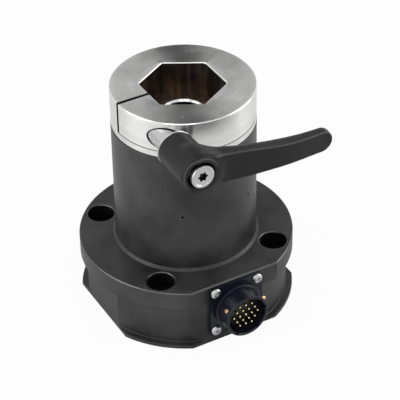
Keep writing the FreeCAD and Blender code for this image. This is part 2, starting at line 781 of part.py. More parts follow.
def contact_places():
    places = []
    row_pitch = pin_pitch * math.sqrt(3.0) / 2
    outer_row = pin_rows // 2
    for row in range(-outer_row, outer_row + 1):
        in_row = pin_rows - abs(row)
        for step in range(in_row):
            places.append(((step - (in_row - 1) / 2) * pin_pitch, connector_height + row * row_pitch))
    return places


def make_contact_pins():
    pins = []
    for x, z in contact_places():
        shank = cylinder_y(pin_radius, pin_tip_y + pin_radius, pin_rear_y, x, z)
        tip = Part.makeSphere(pin_radius, FreeCAD.Vector(x, pin_tip_y + pin_radius, z))
        pins.append(shank.fuse(tip).removeSplitter())
    return pins


def make_connector_insert():
    insert = cylinder_y(insert_radius, insert_front_y, insert_rear_y, 0, connector_height)
    return insert.cut([cylinder_y(pin_radius, insert_front_y - cut_margin, 0, x, z)
                       for x, z in contact_places()])


def make_connector_screws():
    screws = []
    head_front = plate_front_y - plate_screw_head_height
    for x, z in plate_screw_places:
        shank = cylinder_y(plate_screw_radius, plate_front_y, plate_screw_end_y, x, z)
        head = cone_y(plate_screw_top_radius, plate_screw_head_radius, head_front, plate_front_y, x, z)
        key = hexagon(plate_screw_key_flats, -cut_margin, plate_screw_key_depth)
        key.rotate(FreeCAD.Vector(0, 0, 0), FreeCAD.Vector(1, 0, 0), -90)
        key.translate(FreeCAD.Vector(x, head_front, z))
        screws.append(shank.fuse(head).removeSplitter().cut(key))
    return screws


def make_signal_wires():
    wires = []
    height = circuit_bottom - plug_height / 2
    for step in range(wire_count):
        x = (step - (wire_count - 1) / 2) * wire_spacing
        wires.append(cylinder_y(wire_radius, insert_rear_y, plug_y, x, height))
    return wires


def make_board_plug():
    half = plug_width / 2
    return box(-half, half, plug_y, plug_y + plug_depth, circuit_bottom - plug_height, circuit_bottom)


def make_board_chips():
    chips = []
    middle = (circuit_outer_radius + circuit_inner_radius) / 2
    for angle, half in chip_places:
        chip = box(middle - half, middle + half, -half, half, circuit_top, circuit_top + chip_height)
        chips.append(around(chip, angle))
    return chips


def make_read_head():
    half = read_head_size / 2
    high = encoder_height - encoder_clearance
    head = box(encoder_radius - read_head_size, encoder_radius, -half, half, circuit_top, high)
    return around(head, read_head_angle)


def make_encoder_disc():
    disc = tube(encoder_radius, lower_seat_radius, encoder_height, encoder_height + encoder_thickness)
    hub_top = encoder_height + encoder_thickness + encoder_hub_height
    hub = tube(encoder_hub_radius, lower_seat_radius, encoder_height + encoder_thickness, hub_top)
    return disc.fuse(hub).removeSplitter()


def make_coil_leads():
    leads = []
    for side in (-1, 1):
        x = side * coil_lead_spacing / 2
        leads.append(cylinder(coil_lead_radius, circuit_top, coil_floor_height, x, coil_lead_circle))
    return leads


# Housing
write("base_body", [make_base_body()])
write("housing_sleeve", [make_housing_sleeve()])
write("base_screws", make_base_screws())

# Clamp head with its shaft
write("measuring_shaft", [make_measuring_shaft()])

# Bearings, their rings and the seals
for name, bore_radius, low, ball_count in (
        ("upper", upper_seat_radius, upper_bearing_bottom, upper_ball_count),
        ("lower", lower_seat_radius, lower_bearing_height, lower_ball_count)):
    outer_race, inner_race, balls, cage = make_bearing(bore_radius, low, ball_count)
    write(name + "_outer_race", [outer_race])
    write(name + "_inner_race", [inner_race])
    write(name + "_bearing_balls", balls)
    write(name + "_bearing_cage", [cage])
write("upper_housing_ring", [make_retaining_ring(upper_outer_seat, upper_bearing_top, True)])
write("lower_housing_ring", [make_retaining_ring(lower_outer_seat, lower_bearing_top, True)])
write("coil_ring", [make_retaining_ring(sleeve_bore_radius, coil_floor_height - ring_thickness, True)])
for name, seat_radius, bearing_bottom in (
        ("upper", upper_seat_radius, upper_bearing_bottom),
        ("lower", lower_seat_radius, lower_bearing_height)):
    ring = make_retaining_ring(seat_radius, bearing_bottom - ring_thickness, False)
    write(name + "_shaft_ring", [ring])
upper_seal_height = sleeve_top - upper_seal_depth - seal_width
write("upper_seal", [make_seal(seal_land_radius, upper_outer_seat, upper_seal_height)])
write("lower_seal", [make_seal(lower_seat_radius, base_hole_radius, lower_seal_height)])

# Measuring parts on the shaft and in the sleeve
rotor_core, rotor_winding = make_coil(torsion_radius, rotor_core_radius, False)
stator_core, stator_winding = make_coil(rotor_core_radius + air_gap, sleeve_bore_radius, True)
write("rotor_core", [rotor_core])
write("rotor_winding", [rotor_winding])
write("stator_core", [stator_core])
write("stator_winding", [stator_winding])
write("rotor_board", [tube(rotor_core_radius, torsion_radius, coil_top, coil_top + board_thickness)])
write("strain_gauges", make_strain_gauges())
write("gauge_wires", make_gauge_wires())
write("encoder_disc", [make_encoder_disc()])
write("read_head", [make_read_head()])

# Circuit board in the base
write("circuit_board", [make_circuit_board()])
write("board_standoffs", make_standoffs())
write("board_screws", make_board_screws())
write("board_chips", make_board_chips())
write("board_plug", [make_board_plug()])
write("signal_wires", make_signal_wires())
write("coil_leads", make_coil_leads())

# Clamp screw and lever
write("clamp_stud", [make_clamp_stud()])
write("clamp_bush", [make_clamp_bush()])
write("lever_washer", [make_lever_washer()])
write("lever_handle", [make_lever_handle()])
write("lever_spring", [make_lever_spring()])
write("lever_cap_screw", [make_cap_screw()])

# Connector
write("connector_shell", [make_connector_shell()])
write("connector_gasket", [make_connector_gasket()])
write("connector_insert", [make_connector_insert()])
write("contact_pins", make_contact_pins())
write("bayonet_studs", [bayonet_stud(angle) for angle in stud_pin_angles])
write("connector_screws", make_connector_screws())
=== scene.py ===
import json
import math

import bpy
import numpy as np
from bpy.props import FloatProperty, FloatVectorProperty, PointerProperty
from mathutils import Matrix, Vector


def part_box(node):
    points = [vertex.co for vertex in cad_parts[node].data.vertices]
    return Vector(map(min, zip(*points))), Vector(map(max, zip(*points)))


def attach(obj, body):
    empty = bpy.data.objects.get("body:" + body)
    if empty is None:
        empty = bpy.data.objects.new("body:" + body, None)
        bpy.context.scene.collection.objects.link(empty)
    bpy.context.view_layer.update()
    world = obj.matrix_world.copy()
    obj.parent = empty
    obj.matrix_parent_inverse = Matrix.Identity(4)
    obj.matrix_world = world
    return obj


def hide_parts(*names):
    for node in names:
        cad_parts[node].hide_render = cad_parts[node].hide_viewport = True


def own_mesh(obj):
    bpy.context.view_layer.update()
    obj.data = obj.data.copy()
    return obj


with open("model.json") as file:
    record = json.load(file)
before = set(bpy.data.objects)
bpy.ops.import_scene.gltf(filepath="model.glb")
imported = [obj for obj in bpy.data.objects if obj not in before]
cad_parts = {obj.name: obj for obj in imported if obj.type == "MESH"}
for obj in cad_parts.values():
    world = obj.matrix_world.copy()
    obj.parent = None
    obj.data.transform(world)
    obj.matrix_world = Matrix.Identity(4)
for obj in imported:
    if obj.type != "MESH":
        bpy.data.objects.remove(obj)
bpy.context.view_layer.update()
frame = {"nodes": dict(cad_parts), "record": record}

bl_info = {
    "name": "Rotary torque sensor",
    "version": (1, 0, 0),
    "blender": (4, 5, 0),
    "location": "3D View > Sidebar > Torque Sensor",
    "description": "Builds the finished surfaces of a flanged torque sensor with a clamping hexagon socket",
    "category": "Add Mesh",
}

MM = 0.001
CIRCLE_STEPS = 224
OVER = 0.001  # how far a cutter stands past the surface that it cuts
NEAR = 0.0001  # how near the middle of a face may be to a surface and count as part of it
BELOW, ABOVE = -0.01, 0.05  # heights past the base and the disc, for holes that go right through

# Heights and places that the frame gives
BASE_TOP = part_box("base_body")[1].z
DISC_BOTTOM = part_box("housing_sleeve")[0].z
SLEEVE_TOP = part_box("housing_sleeve")[1].z
SHAFT_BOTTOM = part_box("measuring_shaft")[0].z
HEAD_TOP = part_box("measuring_shaft")[1].z
WASHER_LOW, WASHER_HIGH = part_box("lever_washer")
BUSH_LOW, BUSH_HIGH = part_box("clamp_bush")
CAP_LOW, CAP_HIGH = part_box("lever_cap_screw")
PLATE_LOW, PLATE_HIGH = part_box("connector_gasket")
SHELL_LOW, SHELL_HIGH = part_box("connector_shell")
PINS_LOW, PINS_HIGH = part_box("contact_pins")
CLAMP_X = (BUSH_LOW.x + BUSH_HIGH.x) / 2
CLAMP_Z = (BUSH_LOW.z + BUSH_HIGH.z) / 2
PLUG_Z = (PLATE_LOW.z + PLATE_HIGH.z) / 2
PLATE_SEAT = -0.0417  # where the tapped holes for the plate's screws end

# Hidden outlines of the turned pieces in millimetres, as (radius, height)
BASE_INSIDE = ((37.0, 24.5), (37.0, 7.0), (26.0, 7.0), (26.0, 20.0), (21.0, 20.0), (21.0, 18.6),
               (21.9, 18.6), (21.9, 17.0), (21.0, 17.0), (21.0, 10.0), (18.5, 10.0), (18.5, 0.0))
SLEEVE_INSIDE = ((26.0, 99.5), (26.0, 93.6), (26.9, 93.6), (26.9, 92.0), (26.0, 92.0), (26.0, 85.0),
                 (24.0, 85.0), (24.0, 82.0), (29.0, 82.0), (29.0, 56.0), (30.0, 56.0), (30.0, 44.0),
                 (30.9, 44.0), (30.9, 42.4), (30.0, 42.4), (30.0, 24.5))
SHAFT_OUTSIDE = ((15.0, 2.0), (15.0, 8.4), (14.1, 8.4), (14.1, 10.0), (15.0, 10.0), (15.0, 17.0),
                 (17.0, 17.0), (17.0, 20.0), (15.0, 20.0), (15.0, 44.0), (14.0, 44.0), (14.0, 76.0),
                 (20.0, 82.0), (20.0, 83.4), (19.1, 83.4), (19.1, 85.0), (20.0, 85.0), (20.0, 92.0),
                 (21.0, 92.0), (21.0, 99.95))


def settings(kind, rows, **options):
    """The properties of a group. Each row gives a default and a description."""
    return {key: kind(name=key.replace("_", " ").capitalize(), description=text, default=value, **options)
            for key, (value, text) in rows.items()}


def lengths(**rows):
    return settings(FloatProperty, rows, unit="LENGTH", subtype="DISTANCE", precision=5)


def angles(**rows):
    """Angles, with their defaults in degrees."""
    rows = {key: (math.radians(value), text) for key, (value, text) in rows.items()}
    return settings(FloatProperty, rows, unit="ROTATION", subtype="ANGLE")


def amounts(**rows):
    return settings(FloatProperty, rows)


def colours(**rows):
    return settings(FloatVectorProperty, rows, size=3, subtype="COLOR", min=0.0, max=1.0)


class BaseSizes(bpy.types.PropertyGroup):
    __annotations__ = lengths(
        foot_radius=(0.0534, "Radius of the lip at the bottom"),
        foot_height=(0.002, "Height of the lip at the bottom"),
        waist_radius=(0.0501, "Radius of the base above its lip"),
        flat_distance=(0.0477, "Distance of the four flats from the axis"),
        flat_chamfer=(0.0007, "Width of the chamfer along the disc's flat"),
        disc_radius=(0.05325, "Radius of the flange disc"),
        disc_thickness=(0.010, "Thickness of the flange disc"),
        sleeve_radius=(0.035, "Outer radius of the tall sleeve"),
        sleeve_foot=(0.0014, "Width of the short cone where the sleeve meets the disc"),
        edge=(0.0004, "Width of the broken edges"),
        mount_circle=(0.0446, "Radius of the circle of mounting holes"),
        mount_radius=(0.0045, "Radius of the through holes"),
        counterbore_radius=(0.00675, "Radius of the counterbores"),
        counterbore_depth=(0.0086, "Depth of the counterbores"),
        counterbore_mouth=(0.00045, "Depth of the broken edge round the counterbores"),
        screw_circle=(0.043, "Radius of the circle of base screws"),
        screw_room=(0.004, "Radius of the pockets for the base screws' heads"),
        screw_recess=(0.005, "Depth of the pockets for the base screws' heads"),
        screw_head=(0.0035, "Radius of the base screws' heads"),
        screw_head_height=(0.004, "Height of the base screws' heads"),
        screw_shank=(0.002, "Radius of the base screws' shanks"),
        screw_length=(0.027, "Length of the base screws' shanks"),
        screw_key=(0.003, "Width of the base screws' sockets across flats"),
        vent_radius=(0.0007, "Radius of the two small holes in the sleeve"),
        vent_height=(0.0665, "Height of the two small holes"),
    ) | angles(vent_angle=(31.0, "Angle of the small holes from the front"))


class HeadSizes(bpy.types.PropertyGroup):
    __annotations__ = lengths(
        radius=(0.03485, "Radius of the clamp head"),
        height=(0.01955, "Height of the clamp head"),
        edge=(0.0004, "Width of the chamfer round the head's top"),
        low_edge=(0.0003, "Width of the chamfer round the head's underside"),
        flats=(0.036, "Width of the hexagon socket across its flats"),
        depth=(0.0164, "Depth of the hexagon socket"),
        corner=(0.002, "Radius in the corners of the socket"),
        mouth=(0.00045, "Depth of the broken edge round the socket"),
        bore=(0.0103, "Radius of the bore below the socket"),
        bore_edge=(0.0009, "Width of the chamfer round the bore"),
        slit=(0.0017, "Width of the slit that lets the head close"),
        jaw_slit=(0.00045, "Width of the slit under the jaw"),
        jaw_height=(0.00351, "Height of the jaw slit above the head's underside"),
        counterbore=(0.00625, "Radius of the recess for the bush"),
        counterbore_y=(-0.0175, "Place of the recess's floor"),
        thread=(0.00305, "Radius of the threaded hole"),
        clearance=(0.0034, "Radius of the hole through the jaw"),
        drive_flats=(0.019, "Width of the lower hexagon across its flats"),
        drive_depth=(0.018, "Depth of the lower hexagon"),
    )


class LeverSizes(bpy.types.PropertyGroup):
    __annotations__ = lengths(
        length=(0.0704, "From the screw's axis to the tip"),
        tip_radius=(0.0056, "Radius of the round tip"),
        hub_back=(0.009, "Radius of the hub at its back"),
        hub_front=(0.0096, "Radius of the hub near its front"),
        recess=(0.00675, "Radius of the hollow round the cap screw"),
        web_front=(-0.050, "Place of the floor of that hollow"),
        web_back=(-0.0444, "Place of the floor of the hollow at the back"),
        neck=(0.004, "Radius of the hole between the two hollows"),
        back_room=(0.0061, "Radius of the hollow at the back"),
        blend=(0.0050, "Reach of the soft join between hub and arm"),
        grid=(0.00034, "Step of the grid that the form is drawn on"),
    ) | angles(droop=(4.5, "How far the arm points down"))


class CapSizes(bpy.types.PropertyGroup):
    __annotations__ = lengths(
        radius=(0.0058, "Radius of the cap screw's head"),
        height=(0.003, "Height of the cap screw's head"),
        edge=(0.00045, "Width of the broken edge round the head"),
        dish=(0.0043, "Radius of the slight dish in the head's face"),
        dish_depth=(0.0003, "Depth of that dish"),
        socket=(0.0025, "Radius of the six-lobe socket"),
        socket_depth=(0.002, "Depth of the six-lobe socket"),
        shank=(0.0025, "Radius of the shank"),
        spring_wire=(0.00045, "Radius of the wire of the spring under the screw"),
        lift=(0.0035, "How far the lever pulls out against the spring"),
    ) | amounts(spring_turns=(4.0, "Number of turns of the spring"))


class PlugSizes(bpy.types.PropertyGroup):
    __annotations__ = lengths(
        hole_radius=(0.0096, "Radius of the hole in the housing"),
        plate_corner=(0.001, "Radius of the plate's corners"),
        plate_thickness=(0.0016, "Thickness of the square plate"),
        screw_spacing=(0.023, "Distance between the plate's screws"),
        screw_head=(0.0027, "Radius of the button heads"),
        screw_height=(0.0015, "Height of the button heads"),
        screw_key=(0.002, "Width of the screws' sockets across flats"),
        screw_shank=(0.0015, "Radius of the plate's screws"),
        collar_radius=(0.0123, "Radius of the collar at the plate"),
        collar_length=(0.0022, "Length of the collar"),
        barrel_radius=(0.0114, "Outer radius of the barrel"),
        barrel_wall=(0.0015, "Wall of the barrel"),
        rear_radius=(0.0095, "Radius of the shell behind the plate"),
        insert_radius=(0.0086, "Radius of the contact carrier"),
        insert_y=(-0.0525, "Place of the contact carrier's face"),
        key_width=(0.0016, "Width of the slots in the barrel"),
        key_depth=(0.0006, "Depth of the slots in the barrel"),
        edge=(0.00025, "Width of the broken edges"),
        pin_radius=(0.0005, "Radius of a contact"),
        pin_pitch=(0.0033, "Distance between contacts"),
        stud_radius=(0.00105, "Radius of the bayonet studs"),
        stud_reach=(0.0011, "How far the studs stand out"),
        stud_y=(-0.0579, "Place of the studs along the barrel"),
    )


class Finishes(bpy.types.PropertyGroup):
    __annotations__ = colours(
        dark_steel=((0.006, 0.006, 0.0063), "Blackened steel of the base and sleeve"),
        worn_steel=((0.046, 0.046, 0.047), "Blackened steel where it is rubbed"),
        # Edge wear and painted highlight: lighter steel on the broken edges and the flat's chamfer, partly
        # real rubbing and partly the light that these edges catch.
        rubbed_steel=((0.095, 0.095, 0.095), "Blackened steel on its broken edges"),
        bright_steel=((0.75, 0.745, 0.74), "Turned steel of the clamp head"),
        socket_streak=((0.42, 0.31, 0.23), "Oiled steel where the broach rubbed it bright"),
        shaded_steel=((0.05, 0.045, 0.04), "Steel deep in slits and small sockets"),
        cut_steel=((0.19, 0.152, 0.125), "Oiled steel of the socket walls"),
        zinc=((0.52, 0.52, 0.52), "Plated small parts"),
        plastic=((0.0075, 0.0075, 0.008), "Glass-filled plastic of the lever"),
        # Painted highlight: lighter plastic where the lever's rounded crease and lip catch the light.
        creased_plastic=((0.085, 0.085, 0.088), "That plastic along its crease"),
        anodised=((0.0055, 0.0065, 0.013), "Black anodised shell"),
        gold=((0.96, 0.76, 0.42), "Plated contacts"),
        brass=((0.70, 0.50, 0.24), "Bayonet studs"),
        carrier=((0.012, 0.012, 0.012), "Moulded contact carrier"),
    )


class StageSettings(bpy.types.PropertyGroup):
    __annotations__ = lengths(
        camera_x=(-0.33116, "Place of the camera"),
        camera_y=(-0.61226, "Place of the camera"),
        camera_z=(0.56732, "Place of the camera"),
        screen_width=(0.22, "Width of the dark screen behind and above the object"),
    ) | angles(
        camera_turn=(-29.0, "Direction of the view about the vertical"),
        camera_tilt=(36.585, "How far the view looks down"),
        camera_roll=(-0.973, "Roll of the camera"),
    ) | amounts(
        focal_length=(157.9, "Focal length in millimetres on a 36 mm frame"),
        key_power=(2.2, "Power of the side lights in watts"),
        top_power=(1.2, "Power of the light from above in watts"),
        sky_strength=(0.55, "Strength of the surroundings"),
        floor_glow=(0.94, "Share of its own light in the floor that the camera sees"),
    )


GROUPS = {
    "sensor_base": BaseSizes,
    "sensor_head": HeadSizes,
    "sensor_lever": LeverSizes,
    "sensor_cap": CapSizes,
    "sensor_plug": PlugSizes,
    "sensor_finishes": Finishes,
    "sensor_stage": StageSettings,
}


def new_piece(name, mesh):
    piece = bpy.data.objects.new(name, mesh)
    bpy.context.scene.collection.objects.link(piece)
    return piece


def piece_from(name, vertices, faces):
    mesh = bpy.data.meshes.new(name)
    mesh.from_pydata([tuple(point) for point in vertices], [], [tuple(face) for face in faces])
    mesh.validate()
    return new_piece(name, mesh)


def on_circle(radius, count, first=0.0):
    return [(radius * math.cos(first + 2 * math.pi * step / count),
             radius * math.sin(first + 2 * math.pi * step / count)) for step in range(count)]


def in_metres(profile):
    return [(radius * MM, height * MM) for radius, height in profile]


def turned(name, profile, steps=CIRCLE_STEPS):
    """A solid of revolution about Z. The profile is a closed loop of (radius, height), outside first,
    counter-clockwise seen with the radius to the right."""
    rings, vertices, faces = [], [], []
    for radius, height in profile:
        count = steps if radius > 0.0 else 1
        rings.append(range(len(vertices), len(vertices) + count))
        vertices += [(x, y, height) for x, y in on_circle(radius, count)]
    for low, high in zip(rings, rings[1:] + rings[:1]):
        if len(low) == 1 and len(high) == 1:
            continue
        for step in range(steps):
            after = (step + 1) % steps
            face = [low[step % len(low)], low[after % len(low)],
                    high[after % len(high)], high[step % len(high)]]
            faces.append(list(dict.fromkeys(face)))
    return piece_from(name, vertices, faces)


def prism(name, outline, low, high, top=None):
    """An upright solid on a counter-clockwise outline, which may have another outline at its top."""
    count = len(outline)
    vertices = [(x, y, low) for x, y in outline] + [(x, y, high) for x, y in top or outline]
    faces = [list(range(count))[::-1], list(range(count, 2 * count))]
    for step in range(count):
        after = (step + 1) % count
        faces.append([step, after, count + after, count + step])
    return piece_from(name, vertices, faces)


def cylinder(name, radius, low, high, place=(0.0, 0.0), steps=96):
    return prism(name, [(place[0] + x, place[1] + y) for x, y in on_circle(radius, steps)], low, high)


def block(name, low, high):
    outline = [(low[0], low[1]), (high[0], low[1]), (high[0], high[1]), (low[0], high[1])]
    return prism(name, outline, low[2], high[2])


def rounded_polygon(corners, radius, arc_steps=8):
    """A counter-clockwise outline whose corners are replaced by arcs."""
    outline = []
    for index, corner in enumerate(corners):
        here = Vector(corner)
        before = (Vector(corners[index - 1]) - here).normalized()
        after = (Vector(corners[(index + 1) % len(corners)]) - here).normalized()
        half = before.angle(after) / 2
        centre = here + (before + after).normalized() * (radius / math.sin(half))
        start = here + before * (radius / math.tan(half)) - centre
        turn = math.pi - 2 * half
        for step in range(arc_steps + 1):
            swing = turn * step / arc_steps
            arm = Vector((start.x * math.cos(swing) - start.y * math.sin(swing),
                          start.x * math.sin(swing) + start.y * math.cos(swing)))
            outline.append(tuple(centre + arm))
    return outline


def hexagon_corners(flats):
    radius = flats / math.sqrt(3)
    return [(radius * math.cos(math.radians(30 + 60 * step)),
             radius * math.sin(math.radians(30 + 60 * step))) for step in range(6)]


def along_y(x, y, z):
    """Turns a piece made about Z so that its Z points to -Y, and moves its origin."""
    return Matrix.Translation((x, y, z)) @ Matrix.Rotation(math.radians(90), 4, "X")


def moved(piece, matrix):
    piece.data.transform(matrix)
    return piece


def evaluated_copy(piece):
    """The piece with its modifiers worked out into its mesh."""
    depsgraph = bpy.context.evaluated_depsgraph_get()
    mesh = bpy.data.meshes.new_from_object(piece.evaluated_get(depsgraph))
    old = piece.data
    piece.modifiers.clear()
    piece.data = mesh
    if old.users == 0:
        bpy.data.meshes.remove(old)
    mesh.name = piece.name
    return piece


def modified(piece, kind, **values):
    step = piece.modifiers.new(kind.lower(), kind)
    for key, value in values.items():
        setattr(step, key, value)
    return evaluated_copy(piece)


def cut(piece, cutters, operation="DIFFERENCE"):
    """Takes the cutters away from the piece, or adds them to it, and deletes them."""
    group = bpy.data.collections.new("cutters")
    bpy.context.scene.collection.children.link(group)
    for cutter in cutters:
        group.objects.link(cutter)
    modified(piece, "BOOLEAN", operation=operation, solver="EXACT", operand_type="COLLECTION",
             collection=group, use_self=True)
    for cutter in cutters:
        bpy.data.objects.remove(cutter)
    bpy.data.collections.remove(group)
    return piece


def break_edges(piece, width, finish=0):
    """Small bevels on the sharp edges, in the material slot given by finish."""
    return smooth(modified(piece, "BEVEL", material=finish, width=width, segments=2, limit_method="ANGLE",
                           angle_limit=math.radians(35.0), use_clamp_overlap=True, harden_normals=False))


def smooth(piece, sharpest=40.0):
    mesh = piece.data
    mesh.polygons.foreach_set("use_smooth", [True] * len(mesh.polygons))
    mesh.set_sharp_from_angle(angle=math.radians(sharpest))
    return modified(piece, "WEIGHTED_NORMAL", keep_sharp=True, weight=100)


def dress(piece, *finishes):
    """Gives the piece its material slots, by the names of finishes or as materials."""
    piece.data.materials.clear()
    for finish in finishes:
        piece.data.materials.append(material_of(finish) if isinstance(finish, str) else finish)
    return piece


def finish_piece(piece, body, slot, *nodes):
    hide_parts(*nodes)
    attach(piece, body)


def feed(tree, target, inputs):
    """Sets a node's inputs. Each is either a value or the socket that feeds it."""
    for key, value in inputs.items():
        if isinstance(value, bpy.types.NodeSocket):
            tree.links.new(value, target.inputs[key])
        else:
            target.inputs[key].default_value = value


def add(tree, kind, inputs=None, **values):
    """A new node, set in a row with the others."""
    made = tree.nodes.new(kind)
    made.location = (220 * len(tree.nodes) - 3000, 0)
    for key, value in values.items():
        setattr(made, key, value)
    feed(tree, made, inputs or {})
    return made


def maths(tree, operation, first, second):
    return add(tree, "ShaderNodeMath", {0: first, 1: second}, operation=operation).outputs[0]


def node_group(kind, name, inputs, outputs):
    """A new node group: its tree, the sockets of its inputs and the node that its results go to."""
    tree = bpy.data.node_groups.new(name, kind)
    for label, (socket, default) in inputs.items():
        made = tree.interface.new_socket(label, in_out="INPUT", socket_type="NodeSocket" + socket)
        if default is not None:
            made.default_value = default
    for label, socket in outputs.items():
        tree.interface.new_socket(label, in_out="OUTPUT", socket_type="NodeSocket" + socket)
    return tree, add(tree, "NodeGroupInput").outputs, add(tree, "NodeGroupOutput", location=(0, -300))


def lathe_marks_group():
    """Fine rings round the Z axis: a height for bump and a mask of the deeper lines."""
    tree, given, result = node_group(
        "ShaderNodeTree", "lathe marks", {"Spacing": ("Float", 0.0002), "Unevenness": ("Float", 0.5)},
        {"Height": "Float", "Lines": "Float"})
    place = add(tree, "ShaderNodeTexCoord").outputs["Object"]
    split = add(tree, "ShaderNodeSeparateXYZ", {0: place}).outputs
    flat = add(tree, "ShaderNodeCombineXYZ", {"X": split["X"], "Y": split["Y"]}).outputs[0]
    radius = add(tree, "ShaderNodeVectorMath", {0: flat}, operation="LENGTH").outputs["Value"]
    turns = maths(tree, "DIVIDE", maths(tree, "ADD", radius, split["Z"]), given["Spacing"])
    fine, coarse = (
        add(tree, "ShaderNodeTexNoise", {"W": turns, "Scale": scale, "Detail": detail},
            noise_dimensions="1D").outputs["Fac"] for scale, detail in ((1.0, 3.0), (0.13, 2.0)))
    height = add(tree, "ShaderNodeMix", {0: given["Unevenness"], 2: fine, 3: coarse}, data_type="FLOAT")
    lines = add(tree, "ShaderNodeMapRange", {"Value": coarse, "From Min": 0.42, "From Max": 0.64})
    feed(tree, result, {"Height": height.outputs[0], "Lines": lines.outputs[0]})
    return tree


def patina_group():
    """Soft blotches and fine specks in object space, for colour and gloss."""
    tree, given, result = node_group(
        "ShaderNodeTree", "patina", {"Blotch Scale": ("Float", 45.0), "Speck Scale": ("Float", 900.0)},
        {"Blotches": "Float", "Specks": "Float"})
    place = add(tree, "ShaderNodeTexCoord").outputs["Object"]
    blotches = add(tree, "ShaderNodeTexNoise", {
        "Vector": place, "Scale": given["Blotch Scale"], "Detail": 5.0, "Roughness": 0.6})
    even = add(tree, "ShaderNodeMapRange", {
        "Value": blotches.outputs["Fac"], "From Min": 0.3, "From Max": 0.7})
    specks = add(tree, "ShaderNodeTexNoise", {"Vector": place, "Scale": given["Speck Scale"], "Detail": 2.0})
    feed(tree, result, {"Blotches": even.outputs[0], "Specks": specks.outputs["Fac"]})
    return tree


def start_material(name, blotch_scale, speck_scale):
    """A new material: itself, its tree and the masks of its patina."""
    material = bpy.data.materials.new(name)
    material.use_nodes = True
    tree = material.node_tree
    group = bpy.data.node_groups.get("patina") or patina_group()
    stains = add(tree, "ShaderNodeGroup", node_tree=group)
    feed(tree, stains, {"Blotch Scale": blotch_scale, "Speck Scale": speck_scale})
    return material, tree, stains.outputs


def lathe_marks(tree, spacing, unevenness):
    group = bpy.data.node_groups.get("lathe marks") or lathe_marks_group()
    marks = add(tree, "ShaderNodeGroup", node_tree=group)
    feed(tree, marks, {"Spacing": spacing, "Unevenness": unevenness})
    return marks.outputs


def mixed_colour(tree, mask, low, high):
    """A blend from low to high by the mask. Low may also be the socket of a colour."""
    low = low if isinstance(low, bpy.types.NodeSocket) else (*low, 1.0)
    return add(tree, "ShaderNodeMix", {0: mask, 6: low, 7: (*high, 1.0)}, data_type="RGBA").outputs[2]


def feed_shader(tree, colour, gloss_mask, gloss, height, strength, distance, **values):
    """The colour, a roughness that follows its mask, a bump and what else is given."""
    rough = add(tree, "ShaderNodeMapRange", {"Value": gloss_mask, "To Min": gloss[0], "To Max": gloss[1]})
    bump = add(tree, "ShaderNodeBump", {"Height": height, "Strength": strength, "Distance": distance})
    inputs = {"Base Color": colour, "Roughness": rough.outputs[0], "Normal": bump.outputs["Normal"]}
    inputs.update((key.replace("_", " "), value) for key, value in values.items())
    feed(tree, tree.nodes["Principled BSDF"], inputs)


def dark_steel_material(name, gloss, strength):
    finishes = bpy.context.scene.sensor_finishes
    material, tree, stains = start_material(name, 38.0, 1400.0)
    marks = lathe_marks(tree, 0.00022, 0.4)
    colour = mixed_colour(tree, stains["Blotches"], finishes.dark_steel, finishes.worn_steel)
    relief = maths(tree, "ADD", marks["Height"], stains["Specks"])
    feed_shader(tree, colour, stains["Blotches"], gloss, relief, strength, 0.00003,
                Metallic=0.0, Specular_IOR_Level=0.36)
    return material


def bright_steel_material(name, tint, rough, strength, spacing=0.0003, anisotropy=0.0):
    """Steel with brushing that runs round the Z axis."""
    tint = getattr(bpy.context.scene.sensor_finishes, tint)
    material, tree, stains = start_material(name, 60.0, 1500.0)
    marks = lathe_marks(tree, spacing, 0.35)
    colour = mixed_colour(tree, marks["Lines"], tint, [0.93 * part for part in tint])
    place = add(tree, "ShaderNodeTexCoord").outputs["Object"]
    across = add(tree, "ShaderNodeVectorMath", {0: (0.0, 0.0, 1.0), 1: place}, operation="CROSS_PRODUCT")
    tangent = add(tree, "ShaderNodeVectorMath", {0: across.outputs["Vector"]}, operation="NORMALIZE")
    feed_shader(tree, colour, stains["Blotches"], (0.85 * rough, 1.15 * rough), marks["Height"], strength,
                0.00002, Metallic=1.0, Anisotropic=anisotropy, Anisotropic_Rotation=0.25,
                Tangent=tangent.outputs["Vector"])
    return material


def socket_wall_material(name):
    """Dark oiled steel with upright marks left by the broach."""
    finishes = bpy.context.scene.sensor_finishes
    material, tree, stains = start_material(name, 90.0, 1500.0)
    place = add(tree, "ShaderNodeTexCoord").outputs["Object"]
    upright = add(tree, "ShaderNodeMapping", {"Vector": place, "Scale": (1.0, 1.0, 0.04)}).outputs["Vector"]
    noise = add(tree, "ShaderNodeTexNoise", {"Vector": upright, "Scale": 420.0, "Detail": 3.0})
    streaks = noise.outputs["Fac"]
    strong = add(tree, "ShaderNodeMapRange", {"Value": streaks, "From Min": 0.42, "From Max": 0.72})
    both = maths(tree, "MULTIPLY", strong.outputs[0], stains["Blotches"])
    darker = [0.55 * part for part in finishes.cut_steel]
    colour = mixed_colour(tree, both, darker, finishes.socket_streak)
    feed_shader(tree, colour, stains["Blotches"], (0.3, 0.42), streaks, 0.2, 0.00003, Metallic=1.0)
    return material


def plain_material(name, tint, rough, speck_scale=1500.0, grain=0.1, metallic=0.0, specular=0.5,
                   crease=None):
    """A moulded, plated or painted finish. The tint is a name in the finishes, or a colour. The crease
    highlight is the tint of a painted highlight, laid where the mesh carries the highlight mark along the
    crease."""
    finishes = bpy.context.scene.sensor_finishes
    tint = getattr(finishes, tint) if isinstance(tint, str) else tint
    material, tree, stains = start_material(name, 70.0, speck_scale)
    colour = mixed_colour(tree, stains["Blotches"], tint, [min(1.0, 1.25 * part) for part in tint])
    if crease:
        # Painted highlight: the colour turns lighter along the lever's crease and lip, where the rounded
        # edges catch the light.
        highlight_mark = add(tree, "ShaderNodeAttribute", attribute_name="crease").outputs["Fac"]
        colour = mixed_colour(tree, highlight_mark, colour, getattr(finishes, crease))
    feed_shader(tree, colour, stains["Blotches"], (0.92 * rough, 1.08 * rough), stains["Specks"], grain,
                0.00006, Metallic=metallic, Specular_IOR_Level=specular)
    return material


